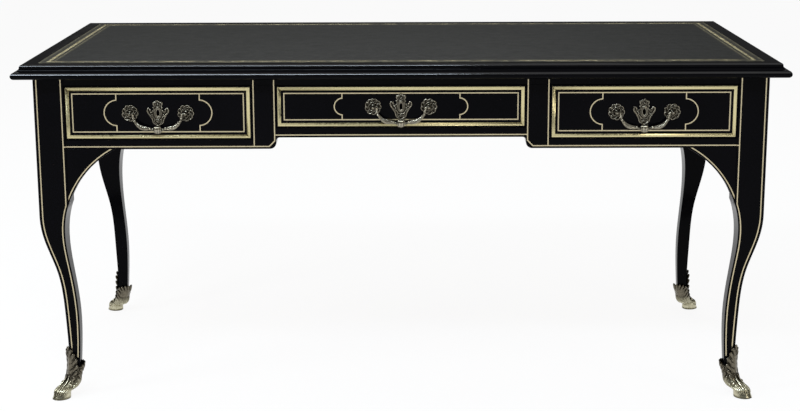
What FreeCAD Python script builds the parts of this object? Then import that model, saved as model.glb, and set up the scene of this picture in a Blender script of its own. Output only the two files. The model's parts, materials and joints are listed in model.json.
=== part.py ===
import FreeCAD, Part
import os
from math import pi, cos, sin, sqrt

from FreeCAD import Vector

# Flat-topped writing table in black lacquer with brass stringing and three frieze drawers.
# Millimetres, +Z up, front towards -Y. The origin is on the floor under the middle of the top.

# Overall sizes
top_width = 1700.0
top_depth = 860.0
desk_height = 780.0
top_overhang = 40.0

# Leather panel and the mitred frame round it
frame_width = 50.0
bead_radius = 5.0
fillet_height = 3.0
quirk_width = 1.0
cove_radius = 7.0
ledge_width = 1.0
nose_radius = 8.0
leather_thickness = 1.4
leather_gap = 0.2

# Frieze
frieze_height = 160.5
knee_lift = 25.5
top_rail_height = 18.0
side_rail_height = 20.5
centre_rail_height = 21.0
rail_depth = 38.0
rail_setback = 2.0
apron_thickness = 22.0
centre_opening = 553.0
divider_width = 52.5
divider_corner = 14.0
rail_cove = 8.0
partition_thickness = 20.0
tenon_length = 20.0
tenon_thickness = 10.0
tenon_shoulder = 2.0

# Cabriole legs: share of the knee's height, inset of the outer face and of the inner face
leg_block = 66.0
knee_share = 0.7425
knee_rise = 24.0
leg_foot_height = 66.0
leg_stations = (
    (0.858, 8.0, 54.7),
    (0.691, 27.7, 60.7),
    (0.458, 39.0, 70.0),
    (0.2655, 42.2, 69.0),
)
knee_inner_inset = 59.5
foot_outer_inset = 42.5
foot_inner_inset = 66.0

# Brackets under the frieze
bracket_reach = 110.0
bracket_thickness = 20.0
bracket_radius = 223.0

# Hoof sabots: height, offset along the diagonal, length and width of each section
sabot_wall = 3.5
sabot_top = 122.0
sabot_low_side = 92.0
sabot_scallop = 9.0
hoof_sections = (
    (0.0, 44.5, 42.0, 37.0),
    (16.0, 40.5, 41.0, 36.0),
    (21.0, 36.5, 47.0, 37.0),
    (27.0, 28.0, 57.0, 36.5),
    (35.0, 15.5, 49.0, 36.0),
    (44.0, 8.5, 38.0, 36.0),
    (56.0, 5.5, 37.0, 37.0),
    (80.0, 3.0, 42.0, 42.0),
)

# Brass stringing and raised brass frames
string_width = 2.4
string_depth = 1.0
string_head = 7.0
string_corner = 13.0
leg_outer_margin = 6.0
leg_inner_margin = 4.2
edge_margin = 4.3
divider_margin = 2.3
bracket_margin = 3.55
frame_margin = 3.0
brass_width = 7.0
brass_height = 2.2
brass_edge = 0.6
brass_sunk = 1.0
string_gap = 5.8

# Drawers
drawer_gap = 1.5
side_relief = 0.5
running_gap = 0.3
drawer_back_space = 114.0
front_thickness = 22.0
side_thickness = 12.0
side_drop = 8.0
back_thickness = 10.0
back_setback = 12.0
back_drop = 6.0
bottom_thickness = 6.0
bottom_rise = 8.0
groove_depth = 5.0
dovetail_length = 14.0
dovetail_base = 12.0
dovetail_flare = 3.0
dovetail_count = 4
guide_height = 25.0
runner_height = 15.5
runner_bearing = 22.0
kicker_width = 40.0

# Bowed cross lines on the drawer fronts: half spacing, and radius as a share of the space between the lines
side_cartouche = (92.0, 0.69)
centre_cartouche = (130.0, 0.66)
bow_inset = 1.5

# Handles
post_spacing = 123.0
post_radius = 3.0
post_reach = 14.0
post_ball = 6.0
flange_radius = 5.5
flange_thickness = 1.0
hole_clearance = 0.05
nut_sides = 6
nut_width = 11.0
nut_height = 5.0
rosette_radius = 18.5
rosette_height = 5.0
rosette_rim = 1.6
rosette_shoulder = 0.8
rosette_seat = 7.0
rosette_petals = 12
petal_cut = 3.0
pivot_radius = 2.5
pivot_clearance = 0.1
bail_drop = 38.0
bail_tip = 3.6
bail_bend = 24.0
bail_shoulder = 4.0
bail_taper = 3.0

# Turned middle of each bail: radius and distance from the middle
grip_profile = (
    (2.5, 34.0),
    (4.6, 25.0),
    (4.8, 18.0),
    (3.0, 11.0),
    (9.0, 7.5),
    (9.0, 0.0),
)

# Escutcheons: arcs of the right-hand outline from the top down, measured from the keyhole
escutcheon_thickness = 3.0
escutcheon_arcs = (
    ((0.0, 28.0), (6.5, 26.5), (10.5, 20.0)),
    ((10.5, 20.0), (9.5, 15.5), (12.0, 12.0)),
    ((12.0, 12.0), (19.0, 12.5), (24.2, 6.0)),
    ((24.2, 6.0), (22.0, -1.0), (16.0, -6.0)),
    ((16.0, -6.0), (14.5, -15.0), (10.0, -23.0)),
    ((10.0, -23.0), (5.5, -28.5), (0.0, -31.0)),
)

# Keyholes and locks
keyhole_radius = 3.4
keyhole_width = 4.6
keyhole_drop = 8.0
lock_width = 60.0
lock_depth = 12.0
lock_wall = 1.5
lock_below_key = 20.0
bolt_width = 22.0
bolt_thickness = 6.0
bolt_plate_width = 44.0
bolt_plate_height = 22.0
bolt_above_key = 8.0
bolt_clearance = 0.2
bolt_throw = 7.0
strike_clearance = 1.0

# Places worked out from the sizes above
half_width = top_width / 2
half_depth = top_depth / 2
moulding_width = bead_radius + quirk_width + cove_radius + ledge_width + nose_radius
top_thickness = bead_radius + fillet_height + cove_radius + 2 * nose_radius
top_underside = desk_height - top_thickness
frieze_bottom = top_underside - frieze_height
knee_bottom = frieze_bottom + knee_lift
knee_height = knee_share * frieze_bottom
inner_bend_height = knee_height + knee_rise
opening_top = top_underside - top_rail_height
side_opening_bottom = frieze_bottom + side_rail_height
centre_opening_bottom = knee_bottom + centre_rail_height
leg_x = half_width - top_overhang
leg_y = half_depth - top_overhang
leg_inner_x = leg_x - leg_block
leg_inner_y = leg_y - leg_block
face_y = -(leg_y - rail_setback)
rail_back_y = face_y + rail_depth
apron_outer_x = leg_x - rail_setback
apron_inner_x = apron_outer_x - apron_thickness
back_face_y = -face_y
back_inner_y = back_face_y - apron_thickness
drawer_length = back_inner_y - face_y - drawer_back_space
divider_inner_x = centre_opening / 2
divider_outer_x = divider_inner_x + divider_width
partition_x = (divider_inner_x + divider_outer_x) / 2
bracket_drop = frieze_bottom - inner_bend_height
leg_reach = 2 * leg_block

x_axis = Vector(1, 0, 0)
y_axis = Vector(0, 1, 0)
z_axis = Vector(0, 0, 1)
origin = Vector(0, 0, 0)


def block(x0, x1, y0, y1, z0, z1):
    """A box between two corners."""
    return Part.makeBox(x1 - x0, y1 - y0, z1 - z0, Vector(x0, y0, z0))


def rod(radius, start, end):
    """A round bar between two points."""
    return Part.makeCylinder(radius, (end - start).Length, start, end - start)


def front_polygon(points, y0, y1):
    """A prism whose front view is the polygon of (x, z) points."""
    corners = [Vector(x, y0, z) for x, z in points]
    face = Part.Face(Part.makePolygon(corners + corners[:1]))
    return face.extrude(Vector(0, y1 - y0, 0))


def turned(profile, centre, axis_turn):
    """A turning about +Z from (radius, height) points, swung by (axis, degrees) and moved to its place."""
    corners = [Vector(r, 0, h) for r, h in profile]
    face = Part.Face(Part.makePolygon(corners + corners[:1]))
    body = face.revolve(origin, z_axis, 360)
    body.rotate(origin, axis_turn[0], axis_turn[1])
    body.translate(centre)
    return body


def flip_x(shape):
    """The left-right mirror image."""
    return shape.mirror(origin, x_axis)


def flip_y(shape):
    """The front-back mirror image."""
    return shape.mirror(origin, y_axis)


def together(shapes):
    """Separate solids kept as one group."""
    return Part.makeCompound([solid for shape in shapes for solid in shape.Solids])


def cut_all(shape, tools):
    """The shape with each tool cut away."""
    for tool in tools:
        shape = shape.cut(tool)
    return shape


def rounded_path(points, radii):
    """Straight runs with a tangent arc at each inner point, as one wire."""
    edges = []
    start = points[0]
    for before, corner, after, radius in zip(points, points[1:], points[2:], radii):
        towards = (before - corner).normalize()
        away = (after - corner).normalize()
        half_turn = towards.getAngle(away) / 2
        setback = radius * cos(half_turn) / sin(half_turn)
        middle = (towards + away).normalize()
        centre = corner + middle * (radius / sin(half_turn))
        first = corner + towards * setback
        last = corner + away * setback
        edges.append(Part.LineSegment(start, first).toShape())
        edges.append(Part.Arc(first, centre - middle * radius, last).toShape())
        start = last
    edges.append(Part.LineSegment(start, points[-1]).toShape())
    return Part.Wire(edges)


# Top

def moulding_profile():
    """Section of the frame: x runs outwards from the leather's edge, z is height."""
    lip = frame_width
    bead_start = lip - moulding_width
    bead_edge = bead_start + bead_radius
    bead_bottom = desk_height - bead_radius
    step = bead_edge + quirk_width
    step_height = bead_bottom - fillet_height
    cove_end = step + cove_radius
    nose_top = step_height - cove_radius
    nose_start = lip - nose_radius
    nose_middle = nose_top - nose_radius
    slant = 1 - sqrt(0.5)

    def point(x, z):
        return Vector(x, 0, z)

    def line(x0, z0, x1, z1):
        return Part.LineSegment(point(x0, z0), point(x1, z1)).toShape()

    bead = Part.Arc(
        point(bead_start, desk_height),
        point(bead_edge - bead_radius * slant, desk_height - bead_radius * slant),
        point(bead_edge, bead_bottom),
    )
    cove = Part.Arc(
        point(step, step_height),
        point(step + cove_radius * slant, nose_top + cove_radius * slant),
        point(cove_end, nose_top),
    )
    nose = Part.Arc(point(nose_start, nose_top), point(lip, nose_middle), point(nose_start, top_underside))
    edges = [
        line(0, top_underside, 0, desk_height),
        line(0, desk_height, bead_start, desk_height),
        bead.toShape(),
        line(bead_edge, bead_bottom, bead_edge, step_height),
        line(bead_edge, step_height, step, step_height),
        cove.toShape(),
        line(cove_end, nose_top, nose_start, nose_top),
        nose.toShape(),
        line(nose_start, top_underside, 0, top_underside),
    ]
    return Part.Face(Part.Wire(edges))


def mitre_wedge(half_run, half_other):
    """Plan of the right-hand frame member, mitred at both ends, as a tall prism."""
    inner_run = half_run - frame_width
    inner_other = half_other - frame_width
    corners = [
        Vector(inner_run, -inner_other, top_underside),
        Vector(half_run, -half_other, top_underside),
        Vector(half_run, half_other, top_underside),
        Vector(inner_run, inner_other, top_underside),
    ]
    face = Part.Face(Part.makePolygon(corners + corners[:1]))
    return face.extrude(Vector(0, 0, top_thickness))


def frame_member(half_run, half_other):
    """The right-hand member of a frame that reaches half_run in x and half_other in y."""
    bar = moulding_profile()
    bar.translate(Vector(half_run - frame_width, -half_other, 0))
    return bar.extrude(Vector(0, 2 * half_other, 0)).common(mitre_wedge(half_run, half_other))


def top_nodes():
    """The moulded frame, the core panel inside it and the leather on the panel."""
    right = frame_member(half_width, half_depth)
    back = frame_member(half_depth, half_width)
    back.rotate(origin, z_axis, 90)
    panel_x = half_width - frame_width
    panel_y = half_depth - frame_width
    leather_bottom = desk_height - leather_thickness
    leather_x = panel_x - leather_gap
    leather_y = panel_y - leather_gap
    return {
        "top_moulding": together([right, flip_x(right), back, flip_y(back)]),
        "top_panel": block(-panel_x, panel_x, -panel_y, panel_y, top_underside, leather_bottom),
        "writing_leather": block(-leather_x, leather_x, -leather_y, leather_y, leather_bottom, desk_height),
    }


# Legs and sabots, modelled with the outer corner at the origin and insets along +X and +Y

def leg_edges(side, shift):
    """One long edge of the leg's front view, top to foot, moved inwards by shift."""
    column = 1 if side == "outer" else 2
    if side == "outer":
        points = [(0.0, knee_height)]
        foot = (foot_outer_inset, leg_foot_height)
        block_inset = 0.0
    else:
        points = [(leg_block, inner_bend_height), (knee_inner_inset, knee_height)]
        foot = (foot_inner_inset, leg_foot_height)
        block_inset = leg_block
    points += [(station[column], station[0] * knee_height) for station in leg_stations]
    points.append(foot)
    curve_points = [Vector(inset + shift, 0, height) for inset, height in points]
    curve = Part.BSplineCurve()
    if side == "outer":
        downwards = Vector(0, 0, -1)
        curve.interpolate(Points=curve_points, InitialTangent=downwards, FinalTangent=downwards)
    else:
        curve.interpolate(Points=curve_points)
    top = Vector(block_inset + shift, 0, top_underside)
    return [Part.LineSegment(top, curve_points[0]).toShape(), curve.toShape()]


def leg_band(first, first_shift, second, second_shift):
    """Prism between two long edges of the leg's front view, running through the leg along Y."""
    left = leg_edges(first, first_shift)
    right = leg_edges(second, second_shift)
    top = Part.LineSegment(left[0].Vertexes[0].Point, right[0].Vertexes[0].Point).toShape()
    foot = Part.LineSegment(left[1].Vertexes[1].Point, right[1].Vertexes[1].Point).toShape()
    wire = Part.Wire(Part.__sortEdges__(left + right + [top, foot]))
    prism = Part.Face(wire).extrude(Vector(0, 2 * leg_reach, 0))
    prism.translate(Vector(0, -leg_reach, 0))
    return prism


def swap_xy(shape):
    """The mirror image in the leg's diagonal, which swaps its front and side."""
    return shape.mirror(origin, Vector(1, -1, 0).normalize())


def squared(prism):
    """What is left when the same outline is sawn from the front and from the side."""
    return prism.common(swap_xy(prism))


def leg_blank():
    """A cabriole leg sawn from a square blank along the same outline on two faces."""
    return squared(leg_band("outer", 0, "inner", 0))


def leg_strings(leg):
    """Brass lines let flush into the leg's front face and outer side face."""
    outer = leg_band("outer", leg_outer_margin, "outer", leg_outer_margin + string_width)
    inner = leg_band("inner", -leg_inner_margin - string_width, "inner", -leg_inner_margin)
    low = frieze_bottom + edge_margin
    branch = block(leg_block - leg_inner_margin, leg_block, 0, string_depth, low, low + string_width)
    sunk = leg.copy()
    sunk.translate(Vector(0, string_depth, 0))
    above_sabot = block(-leg_reach, leg_reach, -leg_reach, leg_reach, sabot_low_side, top_underside)
    skin = leg.cut(sunk).common(above_sabot)
    front = [skin.common(outer), skin.common(inner).fuse(branch).removeSplitter()]
    return front + [swap_xy(string) for string in front]


def sabot(leg):
    """A cast hoof shoe that sockets round the ankle, with leaf tips on its rim."""
    ankle = (leg_stations[-1][1] + leg_stations[-1][2]) / 2
    wires = []
    for height, offset, length, width in hoof_sections:
        ellipse = Part.Wire(Part.Ellipse(origin, length / 2, width / 2).toShape())
        ellipse.rotate(origin, z_axis, 45)
        place = ankle - offset * sqrt(0.5)
        ellipse.translate(Vector(place, place, height))
        wires.append(ellipse)
    hoof = Part.makeLoft(wires, True, False)
    socket_bottom = leg_foot_height
    sleeve = squared(leg_band("outer", -sabot_wall, "inner", sabot_wall))
    sleeve = sleeve.common(block(0, leg_reach, 0, leg_reach, socket_bottom, sabot_top))
    cast = hoof.fuse(sleeve)
    outer_corner = leg_stations[-1][1] - sabot_wall
    inner_corner = leg_stations[-1][2] + sabot_wall
    rim = Part.makePolygon([
        Vector(outer_corner, outer_corner, sabot_top),
        Vector(inner_corner, inner_corner, sabot_low_side),
        Vector(leg_reach, leg_reach, sabot_low_side),
        Vector(leg_reach, leg_reach, 2 * sabot_top),
        Vector(outer_corner, outer_corner, 2 * sabot_top),
        Vector(outer_corner, outer_corner, sabot_top),
    ])
    side_step = Vector(1, -1, 0) * leg_block
    above = Part.Face(rim).extrude(side_step * 2)
    above.translate(side_step * -1)
    rim_middle = (sabot_top + sabot_low_side) / 2
    across_front = rod(sabot_scallop, Vector(ankle, 0, sabot_top), Vector(ankle, ankle, rim_middle))
    across_back = rod(
        sabot_scallop, Vector(ankle, ankle, rim_middle), Vector(ankle, 2 * ankle, sabot_low_side)
    )
    scallops = [across_front, swap_xy(across_front), across_back, swap_xy(across_back)]
    return cut_all(cast, [above] + scallops + [leg])


def at_corner(shape, right, rear):
    """Moves a leg-corner shape to the front left corner and mirrors it to the one asked for."""
    placed = shape.copy()
    placed.translate(Vector(-leg_x, -leg_y, 0))
    if right:
        placed = flip_x(placed)
    if rear:
        placed = flip_y(placed)
    return placed


# Brackets

def bracket_centre():
    """Centre of the hollow edge, in (distance from the leg, height)."""
    chord = sqrt(bracket_reach ** 2 + bracket_drop ** 2)
    stand_off = sqrt(bracket_radius ** 2 - chord ** 2 / 4)
    middle_x = bracket_reach / 2
    middle_z = (frieze_bottom + inner_bend_height) / 2
    centre_x = middle_x + stand_off * bracket_drop / chord
    centre_z = middle_z - stand_off * bracket_reach / chord
    return centre_x, centre_z


def bracket_pair():
    """One bracket in its own frame, leg face at x = 0 and front at y = 0, with its brass line."""
    centre_x, centre_z = bracket_centre()

    def drum(extra):
        start = Vector(centre_x, 0, centre_z)
        return rod(bracket_radius + extra, start, start + Vector(0, bracket_thickness, 0))

    body = block(0, bracket_reach, 0, bracket_thickness, inner_bend_height, frieze_bottom).cut(drum(0))
    ring = drum(bracket_margin + string_width).cut(drum(bracket_margin))
    skin = block(0, bracket_reach, 0, string_depth, inner_bend_height, frieze_bottom)
    string = body.common(ring).common(skin)
    return body.cut(string), string


def bracket_nodes():
    """Brackets beside every leg, on the front, the back and both ends."""
    bodies = []
    strings = []
    for shape, group in zip(bracket_pair(), (bodies, strings)):
        front = shape.copy()
        front.translate(Vector(-leg_inner_x, face_y, 0))
        end = shape.mirror(origin, Vector(1, -1, 0).normalize())
        end.translate(Vector(-apron_outer_x, -leg_inner_y, 0))
        for piece in (front, end):
            group += [piece, flip_x(piece), flip_y(piece), flip_x(flip_y(piece))]
    return bodies, strings


# Frieze

def tenoned(x0, x1, y0, y1, z0, z1, along):
    """A board with a tenon on each end, along "x" or "y"."""
    board = block(x0, x1, y0, y1, z0, z1)
    foot = z0 + tenon_shoulder
    head = z1 - tenon_shoulder
    if along == "x":
        middle = (y0 + y1) / 2
        near = middle - tenon_thickness / 2
        far = middle + tenon_thickness / 2
        tongue = block(x0 - tenon_length, x1 + tenon_length, near, far, foot, head)
    else:
        middle = (x0 + x1) / 2
        near = middle - tenon_thickness / 2
        far = middle + tenon_thickness / 2
        tongue = block(near, far, y0 - tenon_length, y1 + tenon_length, foot, head)
    return board.fuse(tongue).removeSplitter()


def one_end_tenon(x0, x1, z0, z1):
    """A front rail tenoned into the left leg and butted against a divider."""
    board = block(x0, x1, face_y, rail_back_y, z0, z1)
    middle = (face_y + rail_back_y) / 2
    near = middle - tenon_thickness / 2
    far = middle + tenon_thickness / 2
    tongue = block(x0 - tenon_length, x0, near, far, z0 + tenon_shoulder, z1 - tenon_shoulder)
    return board.fuse(tongue).removeSplitter()


def round_corner(x1, y0, y1):
    """What is cut from a lower corner at x1 to round it."""
    low_x = x1 - divider_corner
    high_z = frieze_bottom + divider_corner
    corner = block(low_x, x1, y0, y1, frieze_bottom, high_z)
    return corner.cut(rod(divider_corner, Vector(low_x, y0, high_z), Vector(low_x, y1, high_z)))


def divider_shape():
    """The left divider, with its round lower corner."""
    body = block(-divider_outer_x, -divider_inner_x, face_y, rail_back_y, frieze_bottom, opening_top)
    return body.cut(round_corner(-divider_inner_x, face_y, rail_back_y))


def divider_outline(inset):
    """Outline of the left divider's brass line, moved inwards by inset, with its cut corner."""
    x0 = -divider_outer_x + divider_margin + inset
    x1 = -divider_inner_x - divider_margin - inset
    z0 = frieze_bottom + edge_margin + inset
    cut = string_corner - inset * (2 - sqrt(2))
    head = top_underside - string_head
    points = [(x0, z0), (x1 - cut, z0), (x1, z0 + cut), (x1, head), (x0, head)]
    return front_polygon(points, face_y, face_y + string_depth)


def cove_block(x_corner, y0, y1):
    """A small hollow fillet under the centre rail, against the divider at x_corner."""
    square = block(x_corner, x_corner + rail_cove, y0, y1, knee_bottom - rail_cove, knee_bottom)
    centre = Vector(x_corner + rail_cove, y0, knee_bottom - rail_cove)
    return square.cut(rod(rail_cove, centre, centre + Vector(0, y1 - y0, 0)))


def centre_rail_shape():
    """The raised rail over the knee space, with a hollow fillet at each end."""
    rail = block(
        -divider_inner_x, divider_inner_x, face_y, rail_back_y, knee_bottom, centre_opening_bottom
    )
    cove = cove_block(-divider_inner_x, face_y, rail_back_y)
    return rail.fuse(cove).fuse(flip_x(cove)).removeSplitter()


def front_strings():
    """Brass lines on the front rails and dividers."""
    skin_y = face_y + string_depth
    low = frieze_bottom + edge_margin
    left_end = -divider_outer_x + divider_margin
    left = block(-leg_inner_x, left_end, face_y, skin_y, low, low + string_width)
    high = knee_bottom + edge_margin
    half_centre = divider_inner_x + divider_margin
    centre = block(-half_centre, half_centre, face_y, skin_y, high, high + string_width)
    upright = divider_outline(0).cut(divider_outline(string_width))
    return [left, flip_x(left), centre, upright, flip_x(upright)]


def back_apron_shape():
    """One board with the same stepped lower edge as the front."""
    board = tenoned(
        -leg_inner_x, leg_inner_x, back_inner_y, back_face_y, frieze_bottom, top_underside, "x"
    )
    knee = block(-divider_inner_x, divider_inner_x, back_inner_y, back_face_y, frieze_bottom, knee_bottom)
    cove = cove_block(-divider_inner_x, back_inner_y, back_face_y)
    knee = knee.cut(cove).cut(flip_x(cove))
    corner = round_corner(-divider_inner_x, back_inner_y, back_face_y)
    return cut_all(board, [knee, corner, flip_x(corner)])


def raised_frame(x0, x1, z0, z1):
    """Four mitred brass strips round a panel whose face is y = 0, sunk a little into it."""
    low_edge = Vector(0, -brass_edge, 0)
    high_edge = Vector(0, -brass_edge, brass_width)
    low_root = Vector(0, brass_sunk, 0)
    high_root = Vector(0, brass_sunk, brass_width)
    crown = Part.Arc(low_edge, Vector(0, -brass_height, brass_width / 2), high_edge)
    section = Part.Face(Part.Wire([
        crown.toShape(),
        Part.LineSegment(high_edge, high_root).toShape(),
        Part.LineSegment(high_root, low_root).toShape(),
        Part.LineSegment(low_root, low_edge).toShape(),
    ]))

    def strip(half_length, half_height):
        """The lower strip of a frame centred on the origin."""
        bar = section.extrude(Vector(2 * half_length, 0, 0))
        bar.translate(Vector(-half_length, 0, -half_height))
        wedge = front_polygon([
            (-half_length, -half_height),
            (half_length, -half_height),
            (half_length - brass_width, -half_height + brass_width),
            (-half_length + brass_width, -half_height + brass_width),
        ], -brass_height, brass_sunk)
        return bar.common(wedge)

    half_length = (x1 - x0) / 2
    half_height = (z1 - z0) / 2
    low = strip(half_length, half_height)
    high = low.mirror(origin, z_axis)
    right = strip(half_height, half_length)
    right.rotate(origin, y_axis, -90)
    strips = [low, high, right, flip_x(right)]
    for piece in strips:
        piece.translate(Vector((x0 + x1) / 2, 0, (z0 + z1) / 2))
    return strips


def panel_frame(x0, x1, z0, z1):
    """The raised frame of a drawer-sized panel between openings x0 to x1 and z0 to z1."""
    margin = drawer_gap + frame_margin
    return raised_frame(x0 + margin, x1 - margin, z0 + margin, z1 - margin)


def apron_frames():
    """Brass frames of the false drawers on the back and of the panels on both ends."""
    openings = [
        (-leg_inner_x, -divider_outer_x, side_opening_bottom),
        (-divider_inner_x, divider_inner_x, centre_opening_bottom),
        (divider_outer_x, leg_inner_x, side_opening_bottom),
    ]
    frames = []
    for x0, x1, z0 in openings:
        for strip in panel_frame(x0, x1, z0, opening_top):
            strip.translate(Vector(0, face_y, 0))
            frames.append(flip_y(strip))
    for strip in panel_frame(-leg_inner_y, leg_inner_y, side_opening_bottom, opening_top):
        strip.rotate(origin, z_axis, -90)
        strip.translate(Vector(-apron_outer_x, 0, 0))
        frames += [strip, flip_x(strip)]
    return frames


def apron_strings():
    """Brass lines along the lower edges of the back and of both ends."""
    low = frieze_bottom + edge_margin
    end = block(
        -apron_outer_x, -apron_outer_x + string_depth, -leg_inner_y, leg_inner_y, low, low + string_width
    )
    return [flip_y(string) for string in front_strings()] + [end, flip_x(end)]


def runner(wall_x, bearing_x, guide_x, running_z):
    """A drawer runner with the guide that keeps the drawer straight, fixed to a wall at wall_x."""
    low_x, high_x = sorted((wall_x, bearing_x))
    guide_low, guide_high = sorted((wall_x, guide_x))
    bed = block(low_x, high_x, rail_back_y, back_inner_y, running_z - runner_height, running_z)
    guide = block(guide_low, guide_high, rail_back_y, back_inner_y, running_z, running_z + guide_height)
    return bed.fuse(guide).removeSplitter()


def runner_set(legs):
    """Two runners under each drawer, notched round the legs."""
    inner_wall = partition_x + partition_thickness / 2
    centre_wall = partition_x - partition_thickness / 2
    outer = runner(-apron_inner_x, -leg_inner_x + runner_bearing, -leg_inner_x, side_opening_bottom)
    outer = cut_all(outer, legs)
    inner = runner(-inner_wall, -divider_outer_x - runner_bearing, -divider_outer_x, side_opening_bottom)
    centre = runner(
        -centre_wall, -divider_inner_x + runner_bearing, -divider_inner_x, centre_opening_bottom
    )
    runners = [outer, inner, centre]
    return runners + [flip_x(piece) for piece in runners]


def kickers():
    """Strips under the top that keep an open drawer from tipping."""
    side_middle = (leg_inner_x + divider_outer_x) / 2
    strips = []
    for middle in (-side_middle, 0.0, side_middle):
        strips.append(block(
            middle - kicker_width / 2, middle + kicker_width / 2,
            rail_back_y, back_inner_y, opening_top, top_underside,
        ))
    return strips


def strike_slot(middle):
    """The slot in the top rail that takes a lock's bolt."""
    half = bolt_width / 2 + strike_clearance
    bolt_y = face_y + front_thickness - lock_depth / 2
    half_slot = bolt_thickness / 2 + strike_clearance
    y0 = bolt_y - half_slot
    y1 = bolt_y + half_slot
    return block(middle - half, middle + half, y0, y1, opening_top, opening_top + bolt_throw)


def carcass_nodes():
    """Everything that stays still: top, legs, frieze and what carries the drawers."""
    nodes = top_nodes()
    top_rail = tenoned(-leg_inner_x, leg_inner_x, face_y, rail_back_y, opening_top, top_underside, "x")
    side_middle = (leg_inner_x + divider_outer_x) / 2
    top_rail = cut_all(top_rail, [strike_slot(middle) for middle in (-side_middle, 0.0, side_middle)])
    left_rail = one_end_tenon(-leg_inner_x, -divider_outer_x, frieze_bottom, side_opening_bottom)
    rails = [left_rail, centre_rail_shape(), flip_x(left_rail)]
    divider = divider_shape()
    dividers = [divider, flip_x(divider)]
    left_apron = tenoned(
        -apron_outer_x, -apron_inner_x, -leg_inner_y, leg_inner_y, frieze_bottom, top_underside, "y"
    )
    back_apron = back_apron_shape()
    partition = block(
        -partition_x - partition_thickness / 2, -partition_x + partition_thickness / 2,
        rail_back_y, back_inner_y, side_opening_bottom - runner_height, top_underside,
    )
    brackets, bracket_strings = bracket_nodes()
    strings = front_strings() + apron_strings()
    frames = apron_frames()
    inlay = strings + frames
    boards = [top_rail, rails[0], rails[2], left_apron, flip_x(left_apron), back_apron]

    blank = leg_blank()
    leg_lines = leg_strings(blank)
    lined = cut_all(blank, leg_lines)
    shoe = sabot(blank)
    corners = {
        "front_left": (False, False),
        "front_right": (True, False),
        "rear_left": (False, True),
        "rear_right": (True, True),
    }
    lines = []
    legs = []
    for corner, (right, rear) in corners.items():
        leg = cut_all(at_corner(lined, right, rear), boards)
        legs.append(leg)
        nodes["leg_" + corner] = leg
        nodes["sabot_" + corner] = at_corner(shoe, right, rear)
        lines += [at_corner(line, right, rear) for line in leg_lines]

    nodes["leg_stringing"] = together(lines)
    nodes["knee_brackets"] = together(brackets)
    nodes["front_top_rail"] = cut_all(top_rail, strings)
    nodes["front_lower_rails"] = together([cut_all(rail, strings) for rail in rails])
    nodes["drawer_dividers"] = together([cut_all(piece, strings) for piece in dividers])
    nodes["side_apron_left"] = cut_all(left_apron, inlay)
    nodes["side_apron_right"] = cut_all(flip_x(left_apron), inlay)
    nodes["back_apron"] = cut_all(back_apron, inlay)
    nodes["partitions"] = together([partition, flip_x(partition)])
    nodes["drawer_runners"] = together(runner_set(legs))
    nodes["drawer_kickers"] = together(kickers())
    nodes["apron_stringing"] = together(strings + bracket_strings)
    nodes["apron_brass_frames"] = together(frames)
    return nodes


# Drawers, each modelled where it stands when shut

def keyhole(middle, key_z, y0, y1):
    """The round and slot of a keyhole, as a tool running along Y."""
    start = Vector(middle, y0, key_z)
    barrel = rod(keyhole_radius, start, start + Vector(0, y1 - y0, 0))
    slot = block(
        middle - keyhole_width / 2, middle + keyhole_width / 2, y0, y1, key_z - keyhole_drop, key_z
    )
    return barrel.fuse(slot)


def dovetails(x0, x1, y_root, z0, z1):
    """Tails on the front end of a drawer side, wider at their tips."""
    pitch = (z1 - z0) / dovetail_count
    tip = y_root - dovetail_length
    tails = []
    for index in range(dovetail_count):
        middle = z0 + pitch * (index + 0.5)
        root_half = dovetail_base / 2
        tip_half = root_half + dovetail_flare
        corners = [
            Vector(x0, y_root, middle - root_half),
            Vector(x0, tip, middle - tip_half),
            Vector(x0, tip, middle + tip_half),
            Vector(x0, y_root, middle + root_half),
        ]
        face = Part.Face(Part.makePolygon(corners + corners[:1]))
        tails.append(face.extrude(Vector(x1 - x0, 0, 0)))
    return tails


def drawer_box(x0, x1, z0, z1, front_cuts):
    """Front, sides, back and bottom of the drawer that fills the opening x0 to x1, z0 to z1."""
    front_back_y = face_y + front_thickness
    end_y = face_y + drawer_length
    left = x0 + drawer_gap + side_relief
    right = x1 - drawer_gap - side_relief
    low = z0 + running_gap
    high = z1 - side_drop
    floor = low + bottom_rise
    front = block(x0 + drawer_gap, x1 - drawer_gap, face_y, front_back_y, z0 + drawer_gap, z1 - drawer_gap)
    bottom = block(
        left + side_thickness - groove_depth, right - side_thickness + groove_depth,
        front_back_y - groove_depth, end_y, floor, floor + bottom_thickness,
    )
    back = block(
        left + side_thickness - groove_depth, right - side_thickness + groove_depth,
        end_y - back_setback - back_thickness, end_y - back_setback,
        floor + bottom_thickness, high - back_drop,
    )
    sides = []
    for edge, inner in ((left, left + side_thickness), (right - side_thickness, right)):
        side = block(edge, inner, front_back_y, end_y, low, high)
        for tail in dovetails(edge, inner, front_back_y, floor + bottom_thickness, high):
            side = side.fuse(tail)
            front = front.cut(tail)
        sides.append(cut_all(side.removeSplitter(), [bottom, back]))
    front = cut_all(front, [bottom] + front_cuts)
    return {"front": front, "sides": together(sides), "back": back, "bottom": bottom}


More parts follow.
